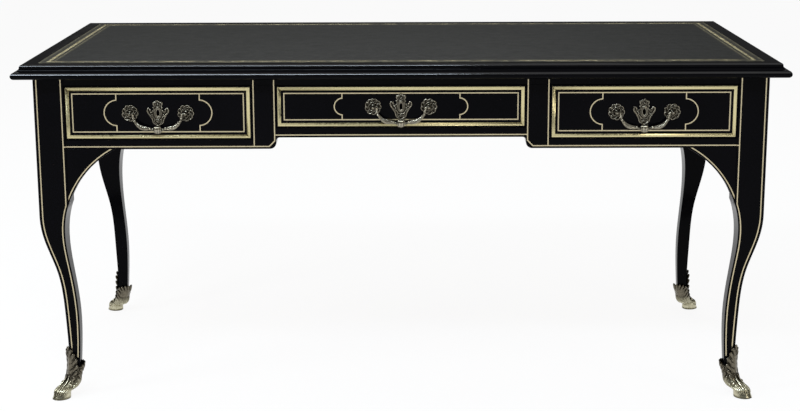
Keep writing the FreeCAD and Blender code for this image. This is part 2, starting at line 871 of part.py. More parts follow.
def cartouche(x0, x1, z0, z1, shape):
    """Brass lines on a drawer front: a rectangle crossed by two lines that bow outwards."""
    half_spacing, radius_share = shape
    inset = drawer_gap + frame_margin + brass_width + string_gap
    skin_y = face_y + string_depth
    left = x0 + inset
    right = x1 - inset
    low = z0 + inset
    high = z1 - inset
    ring = block(left, right, face_y, skin_y, low, high)
    inner_low = low + string_width
    inner_high = high - string_width
    ring = ring.cut(block(left + string_width, right - string_width, face_y, skin_y, inner_low, inner_high))
    middle_x = (x0 + x1) / 2
    middle_z = (z0 + z1) / 2
    radius = radius_share * (inner_high - inner_low) / 2
    notch = middle_x + half_spacing
    centre = Vector(notch - bow_inset, face_y, middle_z)
    through = Vector(0, string_depth, 0)
    bow = rod(radius + string_width / 2, centre, centre + through)
    bow = bow.cut(rod(radius - string_width / 2, centre, centre + through))
    bow = bow.common(block(notch - string_width / 2, right, face_y, skin_y, inner_low, inner_high))
    half_line = string_width / 2
    bow = bow.fuse(block(
        notch - half_line, notch + half_line, face_y, skin_y, middle_z + radius - half_line, inner_high
    ))
    bow = bow.fuse(block(
        notch - half_line, notch + half_line, face_y, skin_y, inner_low, middle_z - radius + half_line
    ))
    mirror_at = Vector(middle_x, 0, 0)
    return ring.fuse(bow).fuse(bow.mirror(mirror_at, x_axis)).removeSplitter()


def rosette(middle, height):
    """A domed back plate with a petalled edge, pierced for its post."""
    profile = [
        (0, 0),
        (rosette_radius, 0),
        (rosette_radius, rosette_rim),
        (rosette_radius * rosette_shoulder, rosette_height * rosette_shoulder),
        (rosette_seat, rosette_height),
        (0, rosette_height),
    ]
    plate = turned(profile, Vector(middle, face_y, height), (x_axis, 90))
    for index in range(rosette_petals):
        angle = 2 * pi * index / rosette_petals
        notch = Vector(middle + rosette_radius * cos(angle), face_y, height + rosette_radius * sin(angle))
        plate = plate.cut(rod(petal_cut / 2, notch, notch - Vector(0, rosette_height, 0)))
    centre = Vector(middle, face_y, height)
    hole = rod(post_radius + hole_clearance, centre, centre - Vector(0, rosette_height, 0))
    return plate.cut(hole)


def post(middle, height):
    """A threaded post through the drawer front, with a pierced ball for the bail and a nut behind."""
    tail = front_thickness + nut_height + 2 * hole_clearance
    profile = [
        (0, -tail),
        (post_radius, -tail),
        (post_radius, rosette_height),
        (flange_radius, rosette_height),
        (flange_radius, rosette_height + flange_thickness),
        (post_radius, rosette_height + flange_thickness),
        (post_radius, post_reach),
        (0, post_reach),
    ]
    shank = turned(profile, Vector(middle, face_y, height), (x_axis, 90))
    pivot = Vector(middle, face_y - post_reach, height)
    ball = Part.makeSphere(post_ball, pivot)
    half_bore = Vector(2 * post_ball, 0, 0)
    bore = rod(pivot_radius + pivot_clearance, pivot - half_bore, pivot + half_bore)
    stem = shank.fuse(ball).cut(bore)
    seat_y = face_y + front_thickness
    corners = []
    reach = nut_width / 2 / cos(pi / nut_sides)
    for index in range(nut_sides + 1):
        angle = 2 * pi * index / nut_sides
        corners.append(Vector(middle + reach * cos(angle), seat_y, height + reach * sin(angle)))
    nut = Part.Face(Part.makePolygon(corners)).extrude(Vector(0, nut_height, 0))
    start = Vector(middle, seat_y, height)
    nut = nut.cut(rod(post_radius + hole_clearance, start, start + Vector(0, nut_height, 0)))
    return [stem, nut]


def bail(middle, height):
    """A swinging bail: turned tips in the posts, bowed arms and a knobbed grip."""
    half = post_spacing / 2
    arm = half - post_ball - bail_shoulder
    pivot_y = face_y - post_reach
    low = height - bail_drop

    def point(x, z):
        return Vector(middle + x, pivot_y, z)

    corners = [
        point(half + bail_tip, height),
        point(arm, height),
        point(arm - bail_taper, low),
        point(-arm + bail_taper, low),
        point(-arm, height),
        point(-half - bail_tip, height),
    ]
    path = rounded_path(corners, (bail_shoulder, bail_bend, bail_bend, bail_shoulder))
    circle = Part.Circle(corners[0], x_axis, pivot_radius).toShape()
    grip = path.makePipeShell([Part.Wire(circle)], True, True)
    reach = grip_profile[0][1]
    other_half = [(radius, -place) for radius, place in reversed(grip_profile[:-1])]
    profile = [(0, reach)] + list(grip_profile) + other_half + [(0, -reach)]
    swelling = turned(profile, point(0, low), (y_axis, 90))
    return grip.fuse(swelling).removeSplitter()


def escutcheon(middle, key_z):
    """A scrolled keyhole plate."""
    edges = []
    for side in (1, -1):
        for arc in escutcheon_arcs:
            start, through, end = [Vector(middle + side * x, face_y, key_z + z) for x, z in arc]
            edges.append(Part.Arc(start, through, end).toShape())
    outline = Part.Wire(Part.__sortEdges__(edges))
    plate = Part.Face(outline).extrude(Vector(0, -escutcheon_thickness, 0))
    return plate.cut(keyhole(middle, key_z, face_y - escutcheon_thickness, face_y))


def lock(middle, key_z, front_top):
    """Lock case let into the back of the drawer front, its bolt, and the recess it needs."""
    back_y = face_y + front_thickness
    case_y = back_y - lock_depth
    low = key_z - lock_below_key
    half = lock_width / 2
    outer = block(middle - half, middle + half, case_y, back_y, low, front_top)
    cavity = block(
        middle - half + lock_wall, middle + half - lock_wall, case_y + lock_wall, back_y - lock_wall,
        low + lock_wall, front_top - lock_wall,
    )
    bolt_y = back_y - lock_depth / 2
    half_bolt = bolt_width / 2
    half_thick = bolt_thickness / 2
    slot = block(
        middle - half_bolt - bolt_clearance, middle + half_bolt + bolt_clearance,
        bolt_y - half_thick - bolt_clearance, bolt_y + half_thick + bolt_clearance,
        front_top - lock_wall, front_top,
    )
    case = cut_all(outer, [cavity, slot, keyhole(middle, key_z, case_y, case_y + lock_wall)])
    plate_low = key_z + bolt_above_key
    half_plate = bolt_plate_width / 2
    plate = block(
        middle - half_plate, middle + half_plate, bolt_y - half_thick, bolt_y + half_thick,
        plate_low, plate_low + bolt_plate_height,
    )
    tongue = block(
        middle - half_bolt, middle + half_bolt, bolt_y - half_thick, bolt_y + half_thick,
        plate_low, front_top,
    )
    return case, plate.fuse(tongue).removeSplitter(), outer


def drawer_nodes(name, x0, x1, z0, lines):
    """All the pieces of one drawer, with its frame, handle, escutcheon and lock."""
    z1 = opening_top
    middle = (x0 + x1) / 2
    height = (z0 + z1) / 2
    front_back_y = face_y + front_thickness
    case, bolt, recess = lock(middle, height, z1 - drawer_gap)
    frame = panel_frame(x0, x1, z0, z1)
    for strip in frame:
        strip.translate(Vector(0, face_y, 0))
    strings = cartouche(x0, x1, z0, z1, lines)
    posts = []
    rosettes = []
    holes = []
    for side in (-1, 1):
        place = middle + side * post_spacing / 2
        posts += post(place, height)
        rosettes.append(rosette(place, height))
        start = Vector(place, face_y, height)
        holes.append(rod(post_radius + hole_clearance, start, start + Vector(0, front_thickness, 0)))
    key_way = keyhole(middle, height, face_y, front_back_y)
    box = drawer_box(x0, x1, z0, z1, frame + [strings, recess, key_way] + holes)
    nodes = {name + "_drawer_" + piece: shape for piece, shape in box.items()}
    nodes[name + "_drawer_brass_frame"] = together(frame)
    nodes[name + "_drawer_stringing"] = strings
    nodes[name + "_rosettes"] = together(rosettes)
    nodes[name + "_handle_posts"] = together(posts)
    nodes[name + "_bail"] = bail(middle, height)
    nodes[name + "_escutcheon"] = escutcheon(middle, height)
    nodes[name + "_lock_case"] = case
    nodes[name + "_lock_bolt"] = bolt
    return nodes


def main():
    """Builds every node and writes it to its own file."""
    nodes = carcass_nodes()
    side = (divider_outer_x, leg_inner_x)
    nodes.update(drawer_nodes("left", -side[1], -side[0], side_opening_bottom, side_cartouche))
    nodes.update(drawer_nodes(
        "centre", -divider_inner_x, divider_inner_x, centre_opening_bottom, centre_cartouche
    ))
    nodes.update(drawer_nodes("right", side[0], side[1], side_opening_bottom, side_cartouche))
    os.makedirs("parts", exist_ok=True)
    for name, shape in nodes.items():
        shape.exportStep("parts/" + name + ".step")
        state = "valid" if shape.isValid() else "not valid"
        print(name, len(shape.Solids), "solids", round(shape.Volume), "mm3", state)


main()
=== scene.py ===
import json
import math

import bpy
from mathutils import Matrix, Vector


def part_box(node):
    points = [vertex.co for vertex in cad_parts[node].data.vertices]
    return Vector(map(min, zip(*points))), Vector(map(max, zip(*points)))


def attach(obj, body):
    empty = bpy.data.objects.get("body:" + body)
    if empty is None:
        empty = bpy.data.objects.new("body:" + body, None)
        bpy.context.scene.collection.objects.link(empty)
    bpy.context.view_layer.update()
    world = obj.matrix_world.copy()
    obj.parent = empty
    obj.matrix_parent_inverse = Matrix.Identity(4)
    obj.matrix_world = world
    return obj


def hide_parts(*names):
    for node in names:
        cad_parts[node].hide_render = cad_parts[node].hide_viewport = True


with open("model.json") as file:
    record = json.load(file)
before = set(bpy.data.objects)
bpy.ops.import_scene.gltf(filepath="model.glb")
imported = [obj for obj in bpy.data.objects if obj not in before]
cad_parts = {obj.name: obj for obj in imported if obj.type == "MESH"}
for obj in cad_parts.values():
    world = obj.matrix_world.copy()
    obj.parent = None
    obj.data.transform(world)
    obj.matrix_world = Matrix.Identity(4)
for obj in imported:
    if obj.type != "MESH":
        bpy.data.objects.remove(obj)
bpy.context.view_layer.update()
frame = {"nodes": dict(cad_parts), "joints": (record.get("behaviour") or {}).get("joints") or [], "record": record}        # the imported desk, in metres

nodes = frame["nodes"]
bodies = frame["record"]["behaviour"]["bodies"]
bodyOf = {node: body for body, members in bodies.items() for node in members}
drawerNames = ("left", "centre", "right")
# the way each foot points, in degrees
cornerTurns = {"front_left": 225, "front_right": 315, "rear_left": 135, "rear_right": 45}
mm = 0.001
mergeDistance = 0.005 * mm      # points nearer than this become one
smoothing = {"plain": 30, "turned": 40, "cast": 50}     # degrees: sharper edges stay sharp


# small helpers

def clearSelection():
    if bpy.context.mode != "OBJECT":
        bpy.ops.object.mode_set(mode="OBJECT")
    bpy.ops.object.select_all(action="DESELECT")


def activate(*objs):
    clearSelection()
    for obj in objs:
        obj.select_set(True)
    bpy.context.view_layer.objects.active = objs[0]
    return objs[0]


def addObject(name, data):
    obj = bpy.data.objects.new(name, data)
    bpy.context.scene.collection.objects.link(obj)
    return obj


def namePiece(obj, name):
    obj.name = name
    obj.data.name = name
    return obj


def applyPlace(obj):
    activate(obj)
    bpy.ops.object.transform_apply(location=True, rotation=True, scale=True)
    return obj


def newPiece(name, scale=(1, 1, 1)):
    # the primitive just added, at the origin and unscaled
    obj = namePiece(bpy.context.active_object, name)
    obj.scale = scale
    return applyPlace(obj)


def joinPieces(objs, name):
    activate(*objs)
    if len(objs) > 1:
        bpy.ops.object.join()
    return applyPlace(namePiece(bpy.context.active_object, name))


def addModifier(obj, kind, **settings):
    activate(obj)
    modifier = obj.modifiers.new(kind.title(), kind)
    for key, value in settings.items():
        setattr(modifier, key, value)
    bpy.ops.object.modifier_apply(modifier=modifier.name)
    return obj


def smoothEdges(obj, kind):
    activate(obj)
    bpy.ops.object.shade_smooth_by_angle(angle=math.radians(smoothing[kind]))
    return obj


def freeCopy(obj, name, place=Matrix.Identity(4)):
    # a copy with a mesh of its own, moved in the mesh
    copied = addObject(name, obj.data.copy())
    copied.data.name = name
    copied.data.transform(place)
    if place.determinant() < 0:
        copied.data.flip_normals()
    return copied


def shapeBy(obj, rule):
    for vertex in obj.data.vertices:
        vertex.co = rule(vertex.co.copy())
    obj.data.update()
    return obj


def editAll(obj, operator, **settings):
    # one operator on the whole of a mesh
    activate(obj)
    bpy.ops.object.mode_set(mode="EDIT")
    bpy.ops.mesh.select_all(action="SELECT")
    operator(**settings)
    bpy.ops.object.mode_set(mode="OBJECT")
    return obj


def mergeCorners(obj):
    return editAll(obj, bpy.ops.mesh.remove_doubles, threshold=mergeDistance)


def outwardFaces(obj):
    return editAll(mergeCorners(obj), bpy.ops.mesh.normals_make_consistent, inside=False)


def dressPiece(obj, material):
    obj.data.materials.clear()
    obj.data.materials.append(material)
    return obj


def setPiece(obj, body, slot, *replaced):
    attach(obj, body)
    if replaced:
        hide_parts(*replaced)
    return obj


def mirroredPiece(obj):
    # the same piece on the other side of the X axis
    twin = freeCopy(obj, obj.name, Matrix.Diagonal((1, -1, 1, 1)))
    return outwardFaces(twin)


def camelName(node):
    first, *rest = node.split("_")
    return first + "".join(word.capitalize() for word in rest)


def blendTable(stations, height):
    # straight line between the rows of a table that starts with a height
    if height <= stations[0][0]:
        return stations[0][1:]
    for low, high in zip(stations, stations[1:]):
        if height <= high[0]:
            share = (height - low[0]) / (high[0] - low[0])
            return tuple(a + (b - a) * share for a, b in zip(low[1:], high[1:]))
    return stations[-1][1:]


# camera, light and floor

camera = {
    "place": Vector((0.0108, -3.9925, 1.2718)),
    "pitch": 0.2218,
    "yaw": -0.0038,
    "roll": 0.0034,
    "sensor": 36.0,
    "lens": 74.404,
}


def setCamera():
    pitch, yaw, roll = camera["pitch"], camera["yaw"], camera["roll"]
    ahead = Vector((math.sin(yaw) * math.cos(pitch), math.cos(yaw) * math.cos(pitch), -math.sin(pitch)))
    right = Vector((math.cos(yaw), -math.sin(yaw), 0))
    down = ahead.cross(right)
    rightTilted = right * math.cos(roll) + down * math.sin(roll)
    downTilted = down * math.cos(roll) - right * math.sin(roll)
    data = bpy.data.cameras.new("studioCamera")
    data.sensor_width = camera["sensor"]
    data.lens = camera["lens"]
    obj = addObject("studioCamera", data)
    turn = Matrix((rightTilted, -downTilted, -ahead)).transposed().to_4x4()
    obj.matrix_world = Matrix.Translation(camera["place"]) @ turn
    bpy.context.scene.camera = obj


lamps = {
    "stripLamp": {"place": (-1.0, -3.3, 3.6), "aim": (0, -0.2, 0.6), "size": (2.7, 0.4), "watts": 140,
                  "colour": (0.76, 0.87, 1.0)},
    "keyLamp": {"place": (-3.0, -1.8, 2.4), "aim": (0, 0, 0.5), "size": (0.9, 1.4), "watts": 45,
                "colour": (0.92, 0.96, 1.0)},
    "fillLamp": {"place": (3.0, -2.4, 1.9), "aim": (0, 0, 0.5), "size": (0.9, 0.9), "watts": 18,
                 "colour": (1.0, 0.94, 0.84)},
    "backLamp": {"place": (-0.4, 3.2, 3.4), "aim": (0, 0, 0.6), "size": (3.0, 0.8), "watts": 24,
                 "colour": (1.0, 1.0, 1.0)},
}
surround = {
    "dim": 0.05,        # the sky near the horizon
    "bright": 0.75,     # the sky overhead
    "rise": (0.22, 0.80),
    "floorColour": (0.94, 0.94, 0.94, 1),
    "floorGlow": 0.90,
    "floorSize": 300,
    "floorDrop": 0.4 * mm,      # the floor lies this far under the feet
}


def setLamps():
    for name, lamp in lamps.items():
        data = bpy.data.lights.new(name, "AREA")
        data.shape = "RECTANGLE"
        data.size, data.size_y = lamp["size"]
        data.energy = lamp["watts"]
        data.color = lamp["colour"]
        obj = addObject(name, data)
        obj.location = lamp["place"]
        aim = Vector(lamp["aim"]) - Vector(lamp["place"])
        obj.rotation_euler = aim.to_track_quat("-Z", "Y").to_euler()


def addNode(tree, kind, sockets=None, **settings):
    node = tree.nodes.new("ShaderNode" + kind)
    for key, value in settings.items():
        setattr(node, key, value)
    for socket, value in (sockets or {}).items():
        node.inputs[socket].default_value = value
    return node


def joinSockets(tree, *pairs):
    for source, target in pairs:
        tree.links.new(source, target)


def seenDirectly(tree):
    # 1 for what the camera, a mirror or a glass shows, 0 for light on the object
    path = addNode(tree, "LightPath").outputs
    seen = addMath(tree, "MAXIMUM", path["Is Camera Ray"], path["Is Glossy Ray"])
    return addMath(tree, "MAXIMUM", seen, path["Is Transmission Ray"])


def setSurround():
    # a dome that is dim round the horizon and bright overhead
    world = bpy.data.worlds.new("studioWorld")
    bpy.context.scene.world = world
    world.use_nodes = True
    tree = world.node_tree
    tree.nodes.clear()
    low, high = surround["rise"]
    axes = addNode(tree, "SeparateXYZ")
    level = addNode(
        tree, "MapRange",
        {"From Min": low, "From Max": high, "To Min": surround["dim"], "To Max": surround["bright"]},
        interpolation_type="SMOOTHSTEP",
    )
    sky = addNode(tree, "Background", {"Color": (1, 1, 1, 1)})
    out = addNode(tree, "OutputWorld")
    joinSockets(
        tree,
        (addNode(tree, "TexCoord").outputs["Generated"], axes.inputs[0]),
        (axes.outputs["Z"], level.inputs["Value"]),
        (level.outputs["Result"], sky.inputs["Strength"]),
        (sky.outputs[0], out.inputs["Surface"]),
    )


def setFloor():
    clearSelection()
    bpy.ops.mesh.primitive_plane_add(size=surround["floorSize"], location=(0, 0, -surround["floorDrop"]))
    floor = newPiece("studioFloor")
    material = bpy.data.materials.new("paleFloor")
    material.use_nodes = True
    tree = material.node_tree
    tree.nodes.clear()
    paint = addNode(tree, "BsdfDiffuse", {"Color": surround["floorColour"]})
    glow = addNode(tree, "Emission", {"Color": (1, 1, 1, 1), "Strength": 1.0})
    share = addMath(tree, "MULTIPLY", seenDirectly(tree), surround["floorGlow"])
    mix = addNode(tree, "MixShader")
    out = addNode(tree, "OutputMaterial")
    joinSockets(
        tree,
        (share, mix.inputs[0]),
        (paint.outputs[0], mix.inputs[1]),
        (glow.outputs[0], mix.inputs[2]),
        (mix.outputs[0], out.inputs["Surface"]),
    )
    dressPiece(floor, material)


# parts of the materials

noiseSpan = (0.3, 0.7)      # nearly all of a noise lies between these


def startMaterial(name):
    material = bpy.data.materials.new(name)
    material.use_nodes = True
    tree = material.node_tree
    shader = tree.nodes["Principled BSDF"]
    place = addNode(tree, "TexCoord").outputs["Object"]
    return material, tree, shader, place


def joinFinish(tree, shader, colour, roughness, normal):
    joinSockets(
        tree,
        (colour, shader.inputs["Base Color"]),
        (roughness, shader.inputs["Roughness"]),
        (normal, shader.inputs["Normal"]),
    )


def splitPlace(tree, place):
    axes = addNode(tree, "SeparateXYZ")
    joinSockets(tree, (place, axes.inputs[0]))
    return axes.outputs


def addNoise(tree, place, scale, detail, stretch=(1, 1, 1)):
    mapping = addNode(tree, "Mapping", {"Scale": stretch})
    noise = addNode(tree, "TexNoise", {"Scale": scale, "Detail": detail})
    joinSockets(tree, (place, mapping.inputs["Vector"]), (mapping.outputs[0], noise.inputs["Vector"]))
    return noise.outputs["Fac"]


def addRamp(tree, source, stops):
    ramp = addNode(tree, "ValToRGB")
    elements = ramp.color_ramp.elements
    while len(elements) < len(stops):
        elements.new(0.5)
    for element, (position, colour) in zip(elements, stops):
        element.position = position
        element.color = (*colour, 1)
    joinSockets(tree, (source, ramp.inputs["Fac"]))
    return ramp.outputs["Color"]


def addRange(tree, source, low, high):
    first, last = noiseSpan
    mapped = addNode(
        tree, "MapRange", {"From Min": first, "From Max": last, "To Min": low, "To Max": high},
    )
    joinSockets(tree, (source, mapped.inputs["Value"]))
    return mapped.outputs["Result"]


def addSpread(tree, place, row):
    # a noise from a row of scale, detail, least and most
    scale, detail, low, high = row
    return addRange(tree, addNoise(tree, place, scale, detail), low, high)


def addBump(tree, source, strength, depth, under=None):
    bump = addNode(tree, "Bump", {"Strength": strength, "Distance": depth})
    joinSockets(tree, (source, bump.inputs["Height"]))
    if under:
        joinSockets(tree, (under, bump.inputs["Normal"]))
    return bump.outputs["Normal"]


def addGrain(tree, place, row, under=None):
    # bumps from a row of noise scale, detail, strength and depth
    scale, detail, strength, depth = row
    return addBump(tree, addNoise(tree, place, scale, detail), strength, depth, under)


def feedSocket(tree, socket, value):
    # a number is set, and the output of a node is joined
    if isinstance(value, (int, float)):
        socket.default_value = value
    else:
        joinSockets(tree, (value, socket))


def addMath(tree, operation, *values):
    node = addNode(tree, "Math", operation=operation)
    for socket, value in zip(node.inputs, values):
        feedSocket(tree, socket, value)
    return node.outputs[0]


def addBetween(tree, value, low, high):
    above = addMath(tree, "GREATER_THAN", value, low)
    below = addMath(tree, "LESS_THAN", value, high)
    return addMath(tree, "MULTIPLY", above, below)


def addMix(tree, share, first, second, blend="MIX"):
    mix = addNode(tree, "Mix", data_type="RGBA", blend_type=blend)
    feedSocket(tree, mix.inputs["Factor"], share)
    joinSockets(tree, (first, mix.inputs["A"]), (second, mix.inputs["B"]))
    return mix.outputs["Result"]


def addHollow(tree, reach):
    hollow = addNode(tree, "AmbientOcclusion", {"Distance": reach}, samples=8)
    return hollow.outputs["AO"]


def addPatinaAndShade(tree, place, reach, row):
    # low in the hollows and high on the crests, stained by a noise: a row of scale, detail, gain and shift.
    # The low hollows are patina on bronze and painted shade on brass inlay.
    scale, detail, gain, shift = row
    stain = addMath(tree, "MULTIPLY_ADD", addNoise(tree, place, scale, detail), gain, shift)
    return addMath(tree, "ADD", addHollow(tree, reach), stain)


# finishes; a row of numbers is what addNoise, addSpread, addGrain, addBump or addPatinaAndShade takes

lacquerLook = {
    "cloud": (5.0, 3.0),
    "tones": ((0.3, (0.0006, 0.0006, 0.0011)), (0.7, (0.0013, 0.0012, 0.0018))),
    "polish": (26.0, 5.0, 0.06, 0.14),
    "ripple": (22.0, 1.0, 0.10, 0.8 * mm),
    "peel": (520.0, 2.0, 0.05, 0.2 * mm),
    "crests": ((0.7755, 0.7793), (0.7585, 0.7632)),     # heights that cloths have polished, in metres
}


def lacquerFinish(name, crests=()):
    material, tree, shader, place = startMaterial(name)
    shade = addRamp(tree, addNoise(tree, place, *lacquerLook["cloud"]), lacquerLook["tones"])
    polish = addSpread(tree, place, lacquerLook["polish"])
    ripple = addGrain(tree, place, lacquerLook["ripple"])
    joinFinish(tree, shader, shade, polish, addGrain(tree, place, lacquerLook["peel"], ripple))
    shader.inputs["Specular IOR Level"].default_value = 0.04
    if crests:
        height = splitPlace(tree, place)["Z"]
        polished = 0.0
        for low, high in crests:
            polished = addMath(tree, "ADD", addBetween(tree, height, low, high), polished)
        joinSockets(tree, (polished, shader.inputs["Coat Weight"]))
        shader.inputs["Coat Roughness"].default_value = 0.10
    return material


inlayLook = {
    "reach": 2 * mm,                        # width of the painted shade in a corner
    "tarnish": (14.0, 6.0, 0.36, -0.14),
    "wear": (190.0, 4.0, 0.22, 0.40),
    "rub": (700.0, 2.0, 0.05, 0.2 * mm),
    # tones from the painted shade in the corners to the unshaded middle; the tarnish noise varies them at
    # random
    "lineBrass": ((0.45, (0.08, 0.060, 0.030)), (0.70, (0.34, 0.275, 0.165)), (0.90, (0.53, 0.45, 0.28)),
                  (1.0, (0.62, 0.54, 0.355))),
    "frameBrass": ((0.45, (0.09, 0.066, 0.022)), (0.70, (0.38, 0.305, 0.115)), (0.90, (0.56, 0.48, 0.235)),
                   (1.0, (0.66, 0.59, 0.335))),
}


def inlayFinish(name):
    material, tree, shader, place = startMaterial(name)
    # the brass is darkened in its corners and on the sides of the raised strips by a painted shade from an
    # occlusion, with a random tarnish
    shade = addRamp(tree, addPatinaAndShade(tree, place, inlayLook["reach"], inlayLook["tarnish"]), inlayLook[name])
    wear = addSpread(tree, place, inlayLook["wear"])
    joinFinish(tree, shader, shade, wear, addGrain(tree, place, inlayLook["rub"]))
    shader.inputs["Metallic"].default_value = 1.0
    return material


bronzeLook = {
    "stain": (210.0, 5.0, 0.4, -0.2),
    "cast": (900.0, 3.0, 0.16, 0.2 * mm),
    "dull": 0.55,       # roughness of the hollows
    # tones from the depth of a hollow to the rubbed high places
    "relief": ((0.45, (0.007, 0.006, 0.004)), (0.70, (0.028, 0.025, 0.019)), (0.88, (0.085, 0.077, 0.058)),
               (1.0, (0.25, 0.23, 0.18))),
    "handled": ((0.45, (0.010, 0.009, 0.006)), (0.70, (0.045, 0.040, 0.030)), (0.88, (0.14, 0.127, 0.096)),
                (1.0, (0.40, 0.37, 0.29))),
    "ground": ((0.35, (0.004, 0.0035, 0.0025)), (0.75, (0.020, 0.0175, 0.013)), (1.0, (0.08, 0.071, 0.053))),
    "leaf": ((0.45, (0.010, 0.0085, 0.006)), (0.70, (0.024, 0.0205, 0.0145)), (0.88, (0.050, 0.044, 0.032)),
             (1.0, (0.165, 0.147, 0.110))),
    "hoof": ((0.35, (0.022, 0.019, 0.010)), (0.65, (0.085, 0.075, 0.042)), (0.88, (0.25, 0.23, 0.148)),
             (1.0, (0.58, 0.55, 0.40))),
}


def bronzeFinish(name, reach, gloss, tone, lowTone=None, change=(0, 1)):
    # dark in the hollows and bright on the high places; lowTone takes over below the heights of the change
    material, tree, shader, place = startMaterial(name)
    patina = addPatinaAndShade(tree, place, reach, bronzeLook["stain"])
    shade = addRamp(tree, patina, bronzeLook[tone])
    if lowTone:
        low, high = change
        level = addNode(tree, "MapRange", {"From Min": low, "From Max": high})
        joinSockets(tree, (splitPlace(tree, place)["Z"], level.inputs["Value"]))
        shade = addMix(tree, level.outputs["Result"], addRamp(tree, patina, bronzeLook[lowTone]), shade)
    rough = addRamp(tree, patina, ((0.4, [bronzeLook["dull"]] * 3), (0.95, [gloss] * 3)))
    joinFinish(tree, shader, shade, rough, addGrain(tree, place, bronzeLook["cast"]))
    shader.inputs["Metallic"].default_value = 1.0
    return material


oakLook = {
    "grain": (38.0, 6.0),
    "fibre": (260.0, 4.0),
    "fibreShare": 0.35,
    "tones": ((0.30, (0.20, 0.105, 0.045)), (0.50, (0.36, 0.215, 0.105)), (0.70, (0.50, 0.33, 0.18))),
    "roughness": (0.45, 0.65),
    "pores": (0.25, 0.6 * mm),
    # the grain is drawn out along X or along Y
    "oakAcross": (0.06, 1, 1),
    "oakAlong": (1, 0.06, 1),
}


def oakFinish(name):
    material, tree, shader, place = startMaterial(name)
    grain = addNoise(tree, place, *oakLook["grain"], oakLook[name])
    fibre = addNoise(tree, place, *oakLook["fibre"], oakLook[name])
    share = oakLook["fibreShare"]
    mixed = addMath(tree, "MULTIPLY_ADD", fibre, share, addMath(tree, "MULTIPLY", grain, 1 - share))
    joinFinish(
        tree, shader,
        addRamp(tree, mixed, oakLook["tones"]),
        addRange(tree, fibre, *oakLook["roughness"]),
        addBump(tree, mixed, *oakLook["pores"]),
    )
    return material


lockLook = {
    "cloud": (60.0, 6.0),
    # a painted shade in the hollows, from an occlusion of this reach
    "paintedShadeReach": 20 * mm,
    "soot": ((0.35, (0.02, 0.02, 0.02)), (0.75, (1, 1, 1))),
    "scratch": (500.0, 3.0, (0.08, 1, 1)),      # drawn out along X
    "roughness": (0.28, 0.45),
    "bump": (0.12, 0.2 * mm),
    "lockBrass": ((0.3, (0.30, 0.23, 0.11)), (0.7, (0.55, 0.45, 0.25))),
    "lockSteel": ((0.3, (0.20, 0.20, 0.20)), (0.7, (0.42, 0.42, 0.41))),
}


def filedMetal(name):
    material, tree, shader, place = startMaterial(name)
    # the lock's metal is darkened in its hollows, such as behind the keyhole, by a painted shade
    soot = addRamp(tree, addHollow(tree, lockLook["paintedShadeReach"]), lockLook["soot"])
    metal = addRamp(tree, addNoise(tree, place, *lockLook["cloud"]), lockLook[name])
    scratch = addNoise(tree, place, *lockLook["scratch"])
    joinFinish(
        tree, shader,
        addMix(tree, 1.0, metal, soot, "MULTIPLY"),
        addRange(tree, scratch, *lockLook["roughness"]),
        addBump(tree, scratch, *lockLook["bump"]),
    )
    shader.inputs["Metallic"].default_value = 1.0
    return material


gilding = {
    # distances from the leather's edge, mm
    "outerLine": (1.2, 6.2),
    "band": (15.0, 25.0),
    "fineLine": (30.4, 32.8),
    "stain": (5.0, 37.0),       # gold dust that stayed in the grain
    # marks, mm
    "pitch": 12.0,
    "slant": 0.62,              # width of a lozenge over its length
    "lozenge": (1.9, 4.0),
    "heart": 1.3,
    "dot": 1.6,
    "sideDot": 1.7,
    "sidePlace": 3.4,           # from the middle of the band
    "stroke": 1.6,              # half the pitch of the outer line's strokes
    "strokeGap": 0.45,          # half the gap between two strokes
    # how much gold is left: 1 is all of it
    "patches": (34.0, 7.0, -0.1, 1.5),
    "rubbed": (90.0, 6.0, 0.4, 1.0),
    "atLeast": 0.15,
    "atEnds": 0.65,
    "outerShare": 0.22,
    "fineShare": 0.28,
    "dust": 0.02,
}
leatherLook = {
    "cells": 620.0,
    "flat": 0.16,               # the skin is flat this far from a crease
    # painted shade in the creases of the grain
    "creaseShade": ((0.02, (0.62, 0.62, 0.62)), (0.14, (1, 1, 1))),
    "cloud": (7.0, 5.0),
    "hide": ((0.2, (0.0102, 0.0114, 0.0098)), (0.8, (0.0136, 0.0147, 0.0128))),
    "goldCloud": (90.0, 4.0),
    "gold": ((0.3, (0.66, 0.54, 0.24)), (0.7, (0.95, 0.85, 0.52))),
    "metallic": 0.2,
    "roughness": (30.0, 5.0, 0.42, 0.56),
    "pressed": (-0.4, 0.4 * mm),
    "skin": (0.35, 1.2 * mm),
}


def giltChain(tree, run, nearest):
    # a chain of lozenges, each round a smaller one, with three dots between each two
    low, high = gilding["band"]
    half = gilding["pitch"] / 2
    across = addMath(tree, "ABSOLUTE", addMath(tree, "SUBTRACT", nearest, (low + high) / 2))
    phase = addMath(tree, "PINGPONG", run, half)
    slope = addMath(tree, "MULTIPLY_ADD", phase, gilding["slant"], across)
    fromDots = addMath(tree, "SUBTRACT", half, phase)
    beside = addMath(tree, "ABSOLUTE", addMath(tree, "SUBTRACT", across, gilding["sidePlace"]))
    marks = (
        (slope, gilding["heart"]),
        (addMath(tree, "ADD", fromDots, across), gilding["dot"]),
        (addMath(tree, "ADD", fromDots, beside), gilding["sideDot"]),
    )
    chain = addBetween(tree, slope, *gilding["lozenge"])
    for distance, size in marks:
        chain = addMath(tree, "MAXIMUM", chain, addMath(tree, "LESS_THAN", distance, size))
    return addMath(tree, "MULTIPLY", chain, addBetween(tree, nearest, low, high))


def rolledLine(tree, run, nearest):
    # the outer line has short slanting strokes
    stroke = addMath(tree, "PINGPONG", addMath(tree, "ADD", run, nearest), gilding["stroke"])
    rolled = addMath(tree, "GREATER_THAN", stroke, gilding["strokeGap"])
    return addMath(tree, "MULTIPLY", addBetween(tree, nearest, *gilding["outerLine"]), rolled)


